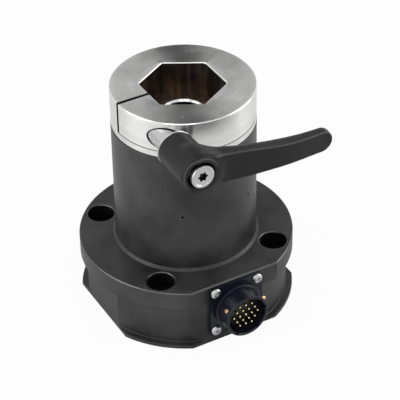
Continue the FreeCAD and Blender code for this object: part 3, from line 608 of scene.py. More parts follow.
# How each finish is made: its function and what that function takes after the name
FINISHES = {
    "burnished base": (dark_steel_material, dict(gloss=(0.36, 0.56), strength=0.25)),
    "burnished sleeve": (dark_steel_material, dict(gloss=(0.32, 0.50), strength=0.35)),
    "turned steel": (bright_steel_material, dict(tint="bright_steel", rough=0.25, strength=0.04,
                                                 spacing=0.0006, anisotropy=0.90)),
    "plated steel": (bright_steel_material, dict(tint="zinc", rough=0.26, strength=0.1)),
    "ground steel": (bright_steel_material, dict(tint="zinc", rough=0.15, strength=0.05, spacing=0.0004)),
    "socket shade": (bright_steel_material, dict(tint="shaded_steel", rough=0.5, strength=0.1)),
    # Lighter steel on the broken edges: edge wear with a painted highlight.
    "rubbed edges": (bright_steel_material, dict(tint="rubbed_steel", rough=0.34, strength=0.1)),
    "cut steel": (socket_wall_material, {}),
    "hole shade": (plain_material, dict(tint=(0.004, 0.004, 0.004), rough=0.5, specular=0.12)),
    # Painted highlight: the shell's broken edges are far lighter and glossier than the anodised shell,
    # standing in for the glints along its rims.
    "shell edges": (plain_material, dict(tint=(0.05, 0.055, 0.07), rough=0.16, grain=0.03, specular=0.9)),
    "black screws": (plain_material, dict(tint=(0.03, 0.03, 0.031), rough=0.36, speck_scale=1200.0,
                                          metallic=0.5)),
    # The lever plastic carries a painted highlight along its crease and lip.
    "lever plastic": (plain_material, dict(tint="plastic", rough=0.40, speck_scale=2600.0, grain=0.25,
                                           specular=0.22, crease="creased_plastic")),
    "anodised shell": (plain_material, dict(tint="anodised", rough=0.24, speck_scale=1800.0, grain=0.05,
                                            specular=0.26)),
    "contact carrier": (plain_material, dict(tint="carrier", rough=0.4)),
    "gold contacts": (plain_material, dict(tint="gold", rough=0.22, grain=0.03, metallic=1.0)),
    "brass": (plain_material, dict(tint="brass", rough=0.28, grain=0.05, metallic=1.0)),
    "seal rubber": (plain_material, dict(tint=(0.02, 0.02, 0.02), rough=0.6)),
    "cage nylon": (plain_material, dict(tint=(0.50, 0.42, 0.28), rough=0.5)),
    "ferrite": (plain_material, dict(tint=(0.06, 0.06, 0.065), rough=0.6)),
    "copper wire": (plain_material, dict(tint=(0.72, 0.30, 0.14), rough=0.3, metallic=1.0)),
    "board green": (plain_material, dict(tint=(0.02, 0.14, 0.05), rough=0.35)),
    "gauge film": (plain_material, dict(tint=(0.52, 0.28, 0.06), rough=0.3)),
    "wire red": (plain_material, dict(tint=(0.45, 0.03, 0.02), rough=0.4)),
    "chip black": (plain_material, dict(tint=(0.015, 0.015, 0.015), rough=0.5)),
    "satin aluminium": (plain_material, dict(tint=(0.6, 0.6, 0.62), rough=0.35, metallic=1.0)),
    "spring steel": (plain_material, dict(tint=(0.30, 0.30, 0.32), rough=0.35, metallic=1.0)),
}

# The finish of each material slot of the frame
SLOT_FINISHES = {
    "base_steel": "burnished base", "sleeve_steel": "burnished sleeve", "head_steel": "turned steel",
    "screw_steel": "plated steel", "black_screw": "black screws", "bearing_steel": "ground steel",
    "cage_plastic": "cage nylon", "spring_steel": "spring steel", "seal_rubber": "seal rubber",
    "lever_plastic": "lever plastic", "ferrite": "ferrite", "copper": "copper wire",
    "board_green": "board green", "chip_black": "chip black", "gauge_foil": "gauge film",
    "wire_insulation": "wire red", "disc_aluminium": "satin aluminium", "brass_post": "brass",
    "anodised_black": "anodised shell", "insert_black": "contact carrier", "gold": "gold contacts",
}


def material_of(name):
    """The finish of that name, made once."""
    if name in bpy.data.materials:
        return bpy.data.materials[name]
    make, values = FINISHES[name]
    return make(name, **values)


def realize(tree, geometry, material, result):
    """Makes copies into one mesh, sets its material and gives it out."""
    real = add(tree, "GeometryNodeRealizeInstances", {0: geometry})
    finish = add(tree, "GeometryNodeSetMaterial", {"Geometry": real.outputs[0], "Material": material})
    feed(tree, result, {0: finish.outputs[0]})
    return tree


def ring_tree():
    """Places copies of a part on a circle, each turned to face outwards."""
    name = "parts on a circle"
    if name in bpy.data.node_groups:
        return bpy.data.node_groups[name]
    tree, given, result = node_group("GeometryNodeTree", name, {
        "Geometry": ("Geometry", None), "Part": ("Object", None), "Count": ("Int", 4),
        "Circle Radius": ("Float", 0.01), "First Angle": ("Float", 0.0), "Material": ("Material", None),
    }, {"Geometry": "Geometry"})
    tree.is_modifier = True
    circle = add(tree, "GeometryNodeMeshCircle", {
        "Vertices": given["Count"], "Radius": given["Circle Radius"]})
    index = add(tree, "GeometryNodeInputIndex").outputs[0]
    swing = maths(tree, "MULTIPLY", maths(tree, "DIVIDE", index, given["Count"]), 2 * math.pi)
    turn = add(tree, "ShaderNodeCombineXYZ", {"Z": swing}).outputs[0]
    part = add(tree, "GeometryNodeObjectInfo", {"Object": given["Part"]}).outputs["Geometry"]
    copies = add(tree, "GeometryNodeInstanceOnPoints", {
        "Points": circle.outputs["Mesh"], "Instance": part, "Rotation": turn})
    first = add(tree, "ShaderNodeCombineXYZ", {"Z": given["First Angle"]}).outputs[0]
    whole = add(tree, "GeometryNodeTransform", {"Geometry": copies.outputs["Instances"], "Rotation": first})
    return realize(tree, whole.outputs["Geometry"], given["Material"], result)


def hexagon_field_tree():
    """Places copies of a part on a hexagonal field: one in the middle and three rings of six."""
    name = "parts on a hexagonal field"
    if name in bpy.data.node_groups:
        return bpy.data.node_groups[name]
    tree, given, result = node_group("GeometryNodeTree", name, {
        "Geometry": ("Geometry", None), "Part": ("Object", None), "Pitch": ("Float", 0.003),
        "Material": ("Material", None)}, {"Geometry": "Geometry"})
    tree.is_modifier = True
    join = add(tree, "GeometryNodeJoinGeometry")
    for share, first in ((1.0, 0.0), (2.0, 0.0), (math.sqrt(3), math.pi / 6)):
        reach = maths(tree, "MULTIPLY", given["Pitch"], share)
        ring = add(tree, "GeometryNodeGroup", node_tree=ring_tree())
        feed(tree, ring, {"Part": given["Part"], "Material": given["Material"], "Circle Radius": reach,
                          "Count": 6, "First Angle": first})
        feed(tree, join, {0: ring.outputs[0]})
    middle = add(tree, "GeometryNodeObjectInfo", {"Object": given["Part"]})
    feed(tree, join, {0: middle.outputs["Geometry"]})
    return realize(tree, join.outputs[0], given["Material"], result)


def repeated(name, tree, part, matrix, **values):
    """A plain mesh of the copies that a tree places, moved by a matrix. The part is deleted."""
    piece = new_piece(name, bpy.data.meshes.new(name))
    layout = piece.modifiers.new("copies", "NODES")
    layout.node_group = tree
    sockets = {item.name: item.identifier for item in tree.interface.items_tree
               if item.item_type == "SOCKET" and item.in_out == "INPUT"}
    layout[sockets["Part"]] = part
    for key, value in values.items():
        layout[sockets[key.replace("_", " ")]] = value
    evaluated_copy(piece)
    if not piece.data.polygons:
        raise RuntimeError(f"{name} came out empty")
    bpy.data.objects.remove(part)
    return moved(piece, matrix)


def smooth_curve(where, stations, values):
    """A soft line through the stations, without overshoot at the ends."""
    stations, values = np.asarray(stations, float), np.asarray(values, float)
    slopes = np.gradient(values, stations)
    slopes[0] = slopes[-1] = 0.0
    at = np.clip(where, stations[0], stations[-1])
    cell = np.clip(np.searchsorted(stations, at) - 1, 0, len(stations) - 2)
    span = stations[cell + 1] - stations[cell]
    share = (at - stations[cell]) / span
    low, high = values[cell], values[cell + 1]
    rise = (2 * share ** 3 - 3 * share ** 2 + 1) * low + (3 * share ** 2 - 2 * share ** 3) * high
    pull = ((share ** 3 - 2 * share ** 2 + share) * slopes[cell]
            + (share ** 3 - share ** 2) * slopes[cell + 1])
    return rise + pull * span


def rounded_meeting(side, end, radius):
    """Distance to where two distances meet in an edge of that radius. Negative is inside."""
    first, second = side + radius, end + radius
    outside = np.hypot(np.maximum(first, 0), np.maximum(second, 0))
    return outside + np.minimum(np.maximum(first, second), 0) - radius


def soft_union(first, second, reach):
    share = np.clip(0.5 + 0.5 * (second - first) / reach, 0, 1)
    return second * (1 - share) + first * share - reach * share * (1 - share)


def surface_of(values, low, step):
    """The surface where the values on a grid pass through zero, as vertices and quads."""
    inside = values < 0
    shape = np.array(values.shape) - 1
    corners = [(i, j, k) for i in (0, 1) for j in (0, 1) for k in (0, 1)]

    def at(array, offset):
        return array[tuple(slice(o, o + n) for o, n in zip(offset, shape))]

    count = sum(at(inside, offset).astype(int) for offset in corners)
    mixed = (count > 0) & (count < 8)
    cells = np.argwhere(mixed)
    number = np.full(mixed.shape, -1)
    number[mixed] = np.arange(len(cells))
    total = np.zeros((len(cells), 3))
    hits = np.zeros(len(cells))
    for start in corners:
        for axis in range(3):
            if start[axis]:
                continue
            stop = tuple(value + (index == axis) for index, value in enumerate(start))
            first = at(values, start)[mixed]
            second = at(values, stop)[mixed]
            crossing = (first < 0) != (second < 0)
            share = np.where(crossing, first / np.where(crossing, first - second, 1), 0)
            point = np.tile(np.array(start, float), (len(cells), 1))
            point[:, axis] += share
            total[crossing] += point[crossing]
            hits += crossing
    vertices = (cells + total / hits[:, None]) * step + np.array(low)
    faces = []
    for axis in range(3):
        second, third = (axis + 1) % 3, (axis + 2) % 3
        start = [slice(None)] * 3
        stop = [slice(None)] * 3
        start[axis], stop[axis] = slice(0, -1), slice(1, None)
        edges = np.argwhere(inside[tuple(start)] != inside[tuple(stop)])
        keep = (edges[:, second] > 0) & (edges[:, third] > 0)
        keep &= (edges[:, second] < shape[second]) & (edges[:, third] < shape[third])
        edges = edges[keep]
        ring = []
        for back_second, back_third in ((1, 1), (0, 1), (0, 0), (1, 0)):
            cell = edges.copy()
            cell[:, second] -= back_second
            cell[:, third] -= back_third
            ring.append(number[tuple(cell.T)])
        quads = np.stack(ring, 1)
        outward = inside[tuple(edges.T)]
        quads[~outward] = quads[~outward][:, ::-1]
        faces.append(quads)
    return vertices, np.concatenate(faces)


def mount_places(size):
    return on_circle(size.mount_circle, 4, math.pi / 4)


def base_screw_places(size):
    return on_circle(size.screw_circle, 8, math.pi / 8)


def mount_hole_cutters(size, low):
    return [cylinder("hole", size.mount_radius, low, ABOVE, place) for place in mount_places(size)]


def base_screw_cutters(size):
    play = 0.00025
    return [cylinder("pocket", size.screw_room, BELOW, size.screw_recess, place, steps=64)
            for place in base_screw_places(size)] + [
        cylinder("hole", size.screw_shank + play, BELOW, BASE_TOP + OVER, place, steps=32)
        for place in base_screw_places(size)]


def plug_hole_cutters(size):
    """The round opening behind the connector and the four holes for its screws."""
    inner_wall = -0.028
    cutters = [moved(cylinder("opening", size.hole_radius, 0.0, 0.04), along_y(0.0, inner_wall, PLUG_Z))]
    reach = size.screw_spacing / 2
    for x, z in ((-reach, -reach), (-reach, reach), (reach, -reach), (reach, reach)):
        hole = cylinder("hole", size.screw_shank, 0.0, 0.02, steps=32)
        cutters.append(moved(hole, along_y(x, PLATE_SEAT, PLUG_Z + z)))
    return cutters


class SENSOR_OT_base(bpy.types.Operator):
    """Make the base with its foot lip, side flats and screw holes"""
    bl_idname = "sensor.base"
    bl_label = "Base"

    def execute(self, context):
        size = context.scene.sensor_base
        edge = size.edge
        base = turned("base", [
            (size.foot_radius - edge, 0.0), (size.foot_radius, edge),
            (size.foot_radius, size.foot_height - edge / 2),
            (size.foot_radius - edge / 2, size.foot_height),
            (size.waist_radius + edge / 2, size.foot_height),
            (size.waist_radius, size.foot_height + edge / 2),
            (size.waist_radius, BASE_TOP - edge), (size.waist_radius - edge, BASE_TOP)]
            + in_metres(BASE_INSIDE))
        reach = 2 * size.foot_radius
        cutters = [moved(block("slab", (size.flat_distance, -reach, BELOW), (reach, reach, ABOVE)),
                         Matrix.Rotation(step * math.pi / 2, 4, "Z")) for step in range(4)]
        cutters += mount_hole_cutters(size, BELOW) + base_screw_cutters(size)
        cutters += plug_hole_cutters(context.scene.sensor_plug)
        dress(cut(base, cutters), "burnished base", "rubbed edges")
        # The bevels take the lighter edge finish: edge wear with a painted highlight.
        break_edges(base, edge * 0.6, finish=1)
        finish_piece(base, "housing", "base_steel", "base_body")
        return {"FINISHED"}


class SENSOR_OT_sleeve(bpy.types.Operator):
    """Make the flange disc and the tall sleeve, one turned piece"""
    bl_idname = "sensor.sleeve"
    bl_label = "Sleeve and flange disc"

    def execute(self, context):
        size = context.scene.sensor_base
        edge = size.edge
        disc_top = DISC_BOTTOM + size.disc_thickness
        soft_cone = ((1.0, 0.0), (0.86, 0.045), (0.045, 0.86), (0.0, 1.0))
        sleeve = turned("sleeve", [
            (size.disc_radius - edge, DISC_BOTTOM), (size.disc_radius, DISC_BOTTOM + edge),
            (size.disc_radius, disc_top - edge), (size.disc_radius - edge, disc_top)] + [
            (size.sleeve_radius + size.sleeve_foot * out, disc_top + size.sleeve_foot * rise)
            for out, rise in soft_cone] + [
            (size.sleeve_radius, SLEEVE_TOP - edge), (size.sleeve_radius - edge, SLEEVE_TOP)]
            + in_metres(SLEEVE_INSIDE))
        cut(sleeve, self.cutters(context, size, disc_top))
        dress(sleeve, "burnished sleeve", "rubbed edges", "hole shade")
        # The bevels take the lighter edge finish: edge wear with a painted highlight.
        break_edges(sleeve, edge * 0.6, finish=1)
        holes = [Vector(place) for place in mount_places(size)]
        for face in sleeve.data.polygons:
            middle = face.center
            near_top = disc_top - size.flat_chamfer < middle.z < disc_top
            from_hole = min((middle.xy - hole).length for hole in holes)
            # The flat's chamfer takes the lighter edge finish, edge wear with a painted highlight; the
            # counterbore walls take the painted hole shade.
            if near_top and 0.3 < face.normal.z < 0.985:
                face.material_index = 1
            elif from_hole < size.counterbore_radius + NEAR and middle.z < disc_top - 2 * NEAR:
                face.material_index = 2
        finish_piece(sleeve, "housing", "sleeve_steel", "housing_sleeve")
        return {"FINISHED"}

    def cutters(self, context, size, disc_top):
        """The flat with its chamfer, the mounting holes, the small holes and those for the connector."""
        reach = 2 * size.foot_radius
        slab = block("slab", (-reach, -reach, DISC_BOTTOM + BELOW),
                     (reach, -size.flat_distance, disc_top + OVER))
        wedge = moved(block("wedge", (-reach, -0.01, 0.0), (reach, 0.01, 0.01)),
                      Matrix.Translation((0.0, -size.flat_distance, disc_top - size.flat_chamfer))
                      @ Matrix.Rotation(math.pi / 4, 4, "X"))
        cutters = [slab, wedge] + mount_hole_cutters(size, 0.0)
        floor = disc_top - size.counterbore_depth
        wall, lip = size.counterbore_radius, size.counterbore_mouth
        mouth = wall + 1.3 * lip
        for place in mount_places(size):
            bore = turned("counterbore", [
                (0.0, floor), (wall, floor), (wall, disc_top - lip),
                (wall + 0.55 * lip, disc_top - 0.27 * lip), (mouth, disc_top),
                (mouth, disc_top + OVER), (0.0, disc_top + OVER)], steps=96)
            cutters.append(moved(bore, Matrix.Translation((*place, 0.0))))
        inside_wall, outside_wall = 0.028, 0.038
        for side in (-1, 1):
            vent = cylinder("vent", size.vent_radius, inside_wall, outside_wall, steps=32)
            cutters.append(moved(vent, Matrix.Translation((0, 0, size.vent_height))
                                 @ Matrix.Rotation(side * size.vent_angle - math.pi / 2, 4, "Z")
                                 @ Matrix.Rotation(math.pi / 2, 4, "Y")))
        cutters += [cylinder("screw", size.screw_shank, 0.0, size.screw_recess + size.screw_length, place,
                             steps=32) for place in base_screw_places(size)]
        return cutters + plug_hole_cutters(context.scene.sensor_plug)


class SENSOR_OT_head(bpy.types.Operator):
    """Make the bright clamp head with its hexagon socket and slits, one piece with the shaft"""
    bl_idname = "sensor.head"
    bl_label = "Clamp head and shaft"

    def execute(self, context):
        size = context.scene.sensor_head
        low = HEAD_TOP - size.height
        floor = HEAD_TOP - size.depth
        drive_top = SHAFT_BOTTOM + size.drive_depth
        inside = size.drive_flats / 2 - 0.0005
        head = turned("clamp_head", [(inside, SHAFT_BOTTOM)] + in_metres(SHAFT_OUTSIDE) + [
            (size.radius - size.low_edge, low), (size.radius, low + size.low_edge),
            (size.radius, HEAD_TOP - size.edge), (size.radius - size.edge, HEAD_TOP),
            (size.bore + size.bore_edge, HEAD_TOP), (size.bore + size.bore_edge, floor),
            (size.bore, floor - size.bore_edge), (size.bore, drive_top), (inside, drive_top)])
        slit_low = low + size.jaw_height - size.jaw_slit / 2
        slit_high = slit_low + size.jaw_slit
        half = size.slit / 2
        reach = 2 * size.radius
        slit = block("slit", (-reach, -half, slit_low), (0.0, half, HEAD_TOP + OVER))
        jaw = block("jaw", (-reach, -reach, slit_low), (reach, half, slit_high))
        recess = cylinder("recess", size.counterbore, 0.0, size.radius + size.counterbore_y, steps=128)
        moved(recess, along_y(CLAMP_X, size.counterbore_y, CLAMP_Z))
        passage = cylinder("passage", size.clearance, 0.0, size.radius, steps=64)
        thread = cylinder("thread", size.thread, -size.radius, 0.0, steps=64)
        for hole in (passage, thread):
            moved(hole, along_y(CLAMP_X, 0.0, CLAMP_Z))
        drive = prism("drive", hexagon_corners(size.drive_flats), SHAFT_BOTTOM - OVER, drive_top)
        cut(head, self.socket_cutters(size, floor) + [slit, jaw, recess, passage, thread, drive])
        dress(head, "turned steel", "cut steel", "socket shade")
        break_edges(head, 0.00009)
        corner = size.flats / math.sqrt(3)
        for face in head.data.polygons:
            middle = face.center
            round_axis = math.hypot(middle.x, middle.y)
            under_skin = round_axis < size.radius - 2 * NEAR
            in_socket = round_axis < corner and middle.z < HEAD_TOP - size.mouth * 1.1
            in_slit = abs(middle.y) < half * 1.05 and middle.x < 0 and under_skin
            in_jaw_slit = slit_low < middle.z < slit_high or abs(face.normal.z) > 0.9 and (
                abs(middle.z - slit_low) < NEAR or abs(middle.z - slit_high) < NEAR)
            from_screw = math.hypot(middle.x - CLAMP_X, middle.z - CLAMP_Z)
            in_recess = from_screw < size.counterbore + 2 * NEAR and round_axis < size.radius - NEAR
            on_bore_edge = abs(middle.z - floor + size.bore_edge / 2) < size.bore_edge * 0.45
            if in_slit or in_recess or in_jaw_slit and under_skin:
                face.material_index = 2
            elif in_socket and not on_bore_edge:
                face.material_index = 1
        finish_piece(head, "rotor", "head_steel", "measuring_shaft")
        return {"FINISHED"}

    def socket_cutters(self, size, floor):
        """The hexagon pocket and its mouth, broken in two steps: steep below and shallow at the top."""
        over = 0.0005

        def wider(by):
            return rounded_polygon(hexagon_corners(size.flats + 2 * by), size.corner + by)

        socket = rounded_polygon(hexagon_corners(size.flats), size.corner)
        turn_out, turn_down, lip_out = 0.55 * size.mouth, 0.27 * size.mouth, 1.3 * size.mouth
        steep = turn_out / (size.mouth - turn_down)
        shallow = (lip_out - turn_out) / turn_down
        return [
            prism("pocket", socket, floor, HEAD_TOP + OVER),
            prism("mouth", socket, HEAD_TOP - size.mouth, HEAD_TOP + over,
                  top=wider(turn_out + steep * (turn_down + over))),
            prism("lip", wider(turn_out - 0.00001), HEAD_TOP - turn_down, HEAD_TOP + over,
                  top=wider(lip_out + shallow * over))]


class SENSOR_OT_clamp_parts(bpy.types.Operator):
    """Make the bright bush and washer between the head and the lever"""
    bl_idname = "sensor.clamp_parts"
    bl_label = "Clamp bush and washer"

    def execute(self, context):
        bore = 0.0031
        for name, replaced, low, high, play, edge in (
                ("bush", "clamp_bush", BUSH_LOW, BUSH_HIGH, 0.0001, 0.0004),
                ("washer", "lever_washer", WASHER_LOW, WASHER_HIGH, 0.0, 0.00018)):
            radius = (high.x - low.x) / 2 - play
            long = high.y - low.y
            ring = turned(name, [
                (bore, 0.0), (radius - edge, 0.0), (radius, edge), (radius, long - edge),
                (radius - edge, long), (bore, long)], steps=128)
            moved(ring, along_y(CLAMP_X, high.y, CLAMP_Z))
            finish_piece(dress(smooth(ring), "plated steel"), "rotor", "screw_steel", replaced)
        return {"FINISHED"}


class SENSOR_OT_lever(bpy.types.Operator):
    """Make the moulded clamping lever, with its arm flowing out of the hub"""
    bl_idname = "sensor.lever"
    bl_label = "Lever"

    # All in millimetres: the hub's ends, then at stations along the arm its half width and how far its
    # front and back faces stand towards the connector's side.
    hub_low, hub_high = 34.8, 58.2
    stations = (0.0, 9.0, 19.0, 27.0, 36.0, 44.0, 53.0, 60.0, 70.0)
    half_widths = (8.3, 8.0, 7.6, 7.2, 6.5, 6.0, 5.7, 5.6, 5.6)
    fronts = (57.9, 58.3, 59.0, 59.7, 60.4, 60.7, 60.1, 59.2, 58.3)
    backs = (46.5, 48.6, 51.4, 52.6, 53.0, 53.1, 53.2, 52.9, 52.4)

    def execute(self, context):
        size = context.scene.sensor_lever
        step = size.grid / MM
        # The grid reaches a little past the lever on every side.
        low = np.array([CLAMP_X / MM - 12.0, -62.5, CLAMP_Z / MM - 15.0])
        high = np.array([CLAMP_X / MM + size.length / MM + 2.0, -33.5, CLAMP_Z / MM + 12.0])
        count = np.ceil((high - low) / step).astype(int)
        lines = [low[axis] + step * np.arange(count[axis]) for axis in range(3)]
        x, y, z = np.meshgrid(*lines, indexing="ij")
        form = self.lever_form(size, x - CLAMP_X / MM, z - CLAMP_Z / MM, -y)
        vertices, faces = surface_of(form, low, step)
        mesh = bpy.data.meshes.new("lever")
        mesh.from_pydata(vertices * MM, [], faces)
        lever = modified(new_piece("lever", mesh), "SMOOTH", factor=0.5, iterations=2)
        mesh = lever.data
        mesh.polygons.foreach_set("use_smooth", [True] * len(mesh.polygons))
        # Painted highlight along the crease and the lip.
        self.mark_crease_highlight(size, mesh)
        finish_piece(dress(lever, "lever plastic"), "lever", "lever_plastic", "lever_handle")
        return {"FINISHED"}

    def mark_crease_highlight(self, size, mesh):
        """Marks how near each point is to the lip round the screw and the line along the arm: the mask of a
        painted highlight on the upper side, where these rounded edges catch the light.
        """
        points = np.empty(3 * len(mesh.vertices))
        mesh.vertices.foreach_get("co", points)
        x, y, z = points.reshape(-1, 3).T / MM
        side, lift, depth = x - CLAMP_X / MM, z - CLAMP_Z / MM, -y
        plan, front, back, across = self.arm_shape(size, side, lift, depth)
        # Painted highlight along the arm's upper front edge and round the upper part of the lip, the side
        # the light comes from.
        arm_highlight = np.exp(-(plan / 0.45) ** 2 - ((depth - front) / 0.6) ** 2) * (across > 0) * (side > 7.0)
        lit_upper_side = np.clip(0.5 + (lift - 0.6 * side) / 8.0, 0, 1)
        lip = np.exp(-((np.hypot(side, lift) - 8.6) / 0.45) ** 2) * (depth > 57.0) * lit_upper_side
        highlight_mark = mesh.attributes.new("crease", "FLOAT", "POINT")
        highlight_mark.data.foreach_set("value", np.maximum(arm_highlight, lip))

    def arm_shape(self, size, side, lift, depth):
        """The distance to the arm's outline, its front and back, and the place across it."""
        along = side * math.cos(-size.droop) + lift * math.sin(-size.droop)
        across = -side * math.sin(-size.droop) + lift * math.cos(-size.droop)
        tip = size.tip_radius / MM
        tip_centre = size.length / MM - tip
        width, front, back = (smooth_curve(along, self.stations, values)
                              for values in (self.half_widths, self.fronts, self.backs))
        plan = np.where(along < tip_centre, np.abs(across) - width,
                        np.hypot(across, along - tip_centre) - tip)
        plan = np.maximum(plan, -along - 2.0)
        lean = (depth - (front + back) / 2) / np.maximum((front - back) / 2, 1.0)
        return plan + 0.25 * np.clip(lean, 0, 1.2) + 0.9 * np.clip(-lean, 0, 1.2) ** 2, front, back, across

    def lever_form(self, size, side, lift, depth):
        """The distance to the lever's surface, negative inside."""
        plan, front, back, across = self.arm_shape(size, side, lift, depth)
        middle, half = (front + back) / 2, (front - back) / 2
        arm = rounded_meeting(plan, np.abs(depth - middle) - half, np.where(depth > middle, 0.45, 1.7))
        ring = np.hypot(side, lift)
        taper = np.clip((depth - self.hub_low) / (self.hub_high - self.hub_low), 0, 1)
        hub_radius = size.hub_back / MM + (size.hub_front - size.hub_back) / MM * taper
        hub_end = np.abs(depth - (self.hub_low + self.hub_high) / 2) - (self.hub_high - self.hub_low) / 2
        hub = rounded_meeting(ring - hub_radius, hub_end, np.where(depth > 50.0, 1.1, 0.35))
        form = soft_union(hub, arm, size.blend / MM)
        hollow = np.maximum(ring - size.recess / MM, -size.web_front / MM - depth)
        back_room = np.maximum(ring - size.back_room / MM, depth + size.web_back / MM)
        return np.maximum.reduce([form, -hollow, -back_room, size.neck / MM - ring])


class SENSOR_OT_cap_screw(bpy.types.Operator):
    """Make the bright screw with its six-lobe socket that holds the lever"""
    bl_idname = "sensor.cap_screw"
    bl_label = "Lever screw"

    def execute(self, context):
        size = context.scene.sensor_cap
        shank = CAP_HIGH.y - CAP_LOW.y - size.height
        edge, low_edge = size.edge, 0.0002
        screw = turned("cap_screw", [
            (size.shank, -shank), (size.shank, 0.0), (size.radius - low_edge, 0.0), (size.radius, low_edge),
            (size.radius, size.height - edge), (size.radius - edge * 0.3, size.height - edge * 0.3),
            (size.radius - edge, size.height), (size.dish + size.dish_depth, size.height),
            (size.dish, size.height - size.dish_depth), (0.0, size.height - size.dish_depth),
            (0.0, -shank)], steps=128)
        lobe = size.socket / 4
        floor = size.height - size.socket_depth
        cutters = [cylinder("lobe", lobe, floor, size.height + OVER, place, steps=32)
                   for place in on_circle(size.socket - lobe, 6)]
        cutters.append(cylinder("middle", size.socket - lobe, floor - 0.00005, size.height + OVER, steps=90))
        dress(cut(screw, cutters), "plated steel", "socket shade")
        for face in screw.data.polygons:
            middle = face.center
            in_depth = floor - NEAR < middle.z < size.height - 4 * NEAR
            if in_depth and math.hypot(middle.x, middle.y) < size.socket:
                face.material_index = 1
        moved(screw, along_y(CLAMP_X, CAP_LOW.y + size.height, CLAMP_Z))
        finish_piece(smooth(screw, 30.0), "clamp_screw", "screw_steel", "lever_cap_screw")
        return {"FINISHED"}


class SENSOR_OT_lever_spring(bpy.types.Operator):
    """Make the coil spring under the lever screw. The real spring shortens as the lever is pulled out; this
    one keeps one length.
    """
    bl_idname = "sensor.lever_spring"
    bl_label = "Lever spring"

    def execute(self, context):
        size = context.scene.sensor_cap
        low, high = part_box("lever_spring")
        wire = size.spring_wire
        coil = (high.x - low.x) / 2 - wire
        long = high.y - low.y - 2 * wire
        around, steps_a_turn = 12, 48
        steps = int(steps_a_turn * size.spring_turns)
        vertices, faces = [], []
        for step in range(steps + 1):
            turn = 2 * math.pi * size.spring_turns * step / steps
            out = Vector((math.cos(turn), 0.0, -math.sin(turn)))
            centre = Vector((CLAMP_X, low.y + wire + long * step / steps, CLAMP_Z)) + coil * out
            for part in range(around):
                swing = 2 * math.pi * part / around
                rim = math.cos(swing) * out + math.sin(swing) * Vector((0, 1, 0))
                vertices.append(centre + wire * rim)
        for first in range(0, steps * around, around):
            for part in range(around):
                here, after = first + part, first + (part + 1) % around
                faces.append((here, here + around, after + around, after))
        faces += [tuple(range(around)), tuple(range(steps * around, (steps + 1) * around))[::-1]]
        spring = dress(smooth(piece_from("coil_spring", vertices, faces)), "spring steel")
        finish_piece(spring, "clamp_screw", "spring_steel", "lever_spring")
        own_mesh(spring)
        return {"FINISHED"}


class SENSOR_OT_plug_shell(bpy.types.Operator):
    """Make the black connector shell: square plate, collar and slotted barrel"""
    bl_idname = "sensor.plug_shell"
    bl_label = "Connector shell"

    def execute(self, context):
        size = context.scene.sensor_plug
        back = PLATE_LOW.y
        front, rear = back - SHELL_LOW.y, back - SHELL_HIGH.y
        collar_top = size.plate_thickness + size.collar_length
        mouth = size.barrel_radius - size.barrel_wall
        insert = back - size.insert_y
        edge = size.edge
        step = size.plate_thickness / 2
        shell = turned("connector_barrel", [
            (size.insert_radius, rear), (size.rear_radius, rear), (size.rear_radius, step),
            (size.collar_radius, step), (size.collar_radius, collar_top - edge),
            (size.collar_radius - edge, collar_top), (size.barrel_radius, collar_top),
            (size.barrel_radius, front - edge * 2), (size.barrel_radius - edge * 0.6, front - edge * 0.6),
            (size.barrel_radius - edge * 2, front), (mouth + edge, front), (mouth, front - edge),
            (mouth, insert), (size.insert_radius, insert)], steps=160)
        half = (PLATE_HIGH.x - PLATE_LOW.x) / 2
        square = [(-half, -half), (half, -half), (half, half), (-half, half)]
        plate = prism("plate", rounded_polygon(square, size.plate_corner), 0.0, size.plate_thickness)
        cut(shell, [plate], "UNION")
        cutters = [cylinder("bore", size.insert_radius, rear - OVER, insert - 0.0005, steps=160)]
        key_turns = (90.0, 15.0, 165.0, 235.0, 305.0)
        for turn in key_turns:
            key = block("key", (mouth - size.key_depth, -size.key_width / 2, insert),
                        (mouth + size.key_depth, size.key_width / 2, front + OVER))
            cutters.append(moved(key, Matrix.Rotation(math.radians(turn), 4, "Z")))
        reach = size.screw_spacing / 2
        cutters += [cylinder("hole", size.screw_shank, -OVER, size.plate_thickness + OVER, (x, y), steps=32)
                    for x in (-reach, reach) for y in (-reach, reach)]
        moved(cut(shell, cutters), along_y(0.0, back, PLUG_Z))
        # The bevels take the painted highlight of the shell's edges.
        break_edges(dress(shell, "anodised shell", "shell edges"), 0.00022, finish=1)
        finish_piece(shell, "housing", "anodised_black", "connector_shell")
        return {"FINISHED"}


class SENSOR_OT_contacts(bpy.types.Operator):
    """Make the field of gold contacts and the three brass bayonet studs"""
    bl_idname = "sensor.contacts"
    bl_label = "Contacts and studs"

    def execute(self, context):
        size = context.scene.sensor_plug
        long = PINS_HIGH.y - PINS_LOW.y
        radius = size.pin_radius
        dome = [(radius * math.cos(turn), long - radius + radius * math.sin(turn))
                for turn in np.linspace(0, math.pi / 2, 6)[:-1]]
        pin = turned("pin", [(0.0, 0.0), (radius, 0.0)] + dome + [(0.0, long)], steps=20)
        pins = repeated("contacts", hexagon_field_tree(), pin, along_y(0.0, PINS_HIGH.y, PLUG_Z),
                        Pitch=size.pin_pitch, Material=material_of("gold contacts"))
        finish_piece(smooth(pins), "housing", "gold", "contact_pins")
        reach = size.barrel_wall / 2 + size.stud_reach
        stud = turned("stud", [
            (0.0, 0.0), (size.stud_radius, 0.0), (size.stud_radius, reach - size.edge),
            (size.stud_radius - size.edge, reach), (0.0, reach)], steps=40)
        moved(stud, Matrix.Rotation(math.pi / 2, 4, "Y"))
        studs = repeated("bayonet_pegs", ring_tree(), stud, along_y(0.0, size.stud_y, PLUG_Z), Count=3,
                         Circle_Radius=size.barrel_radius - size.barrel_wall / 2,
                         First_Angle=math.pi / 6, Material=material_of("brass"))
        finish_piece(smooth(studs), "housing", "brass_post", "bayonet_studs")
        return {"FINISHED"}


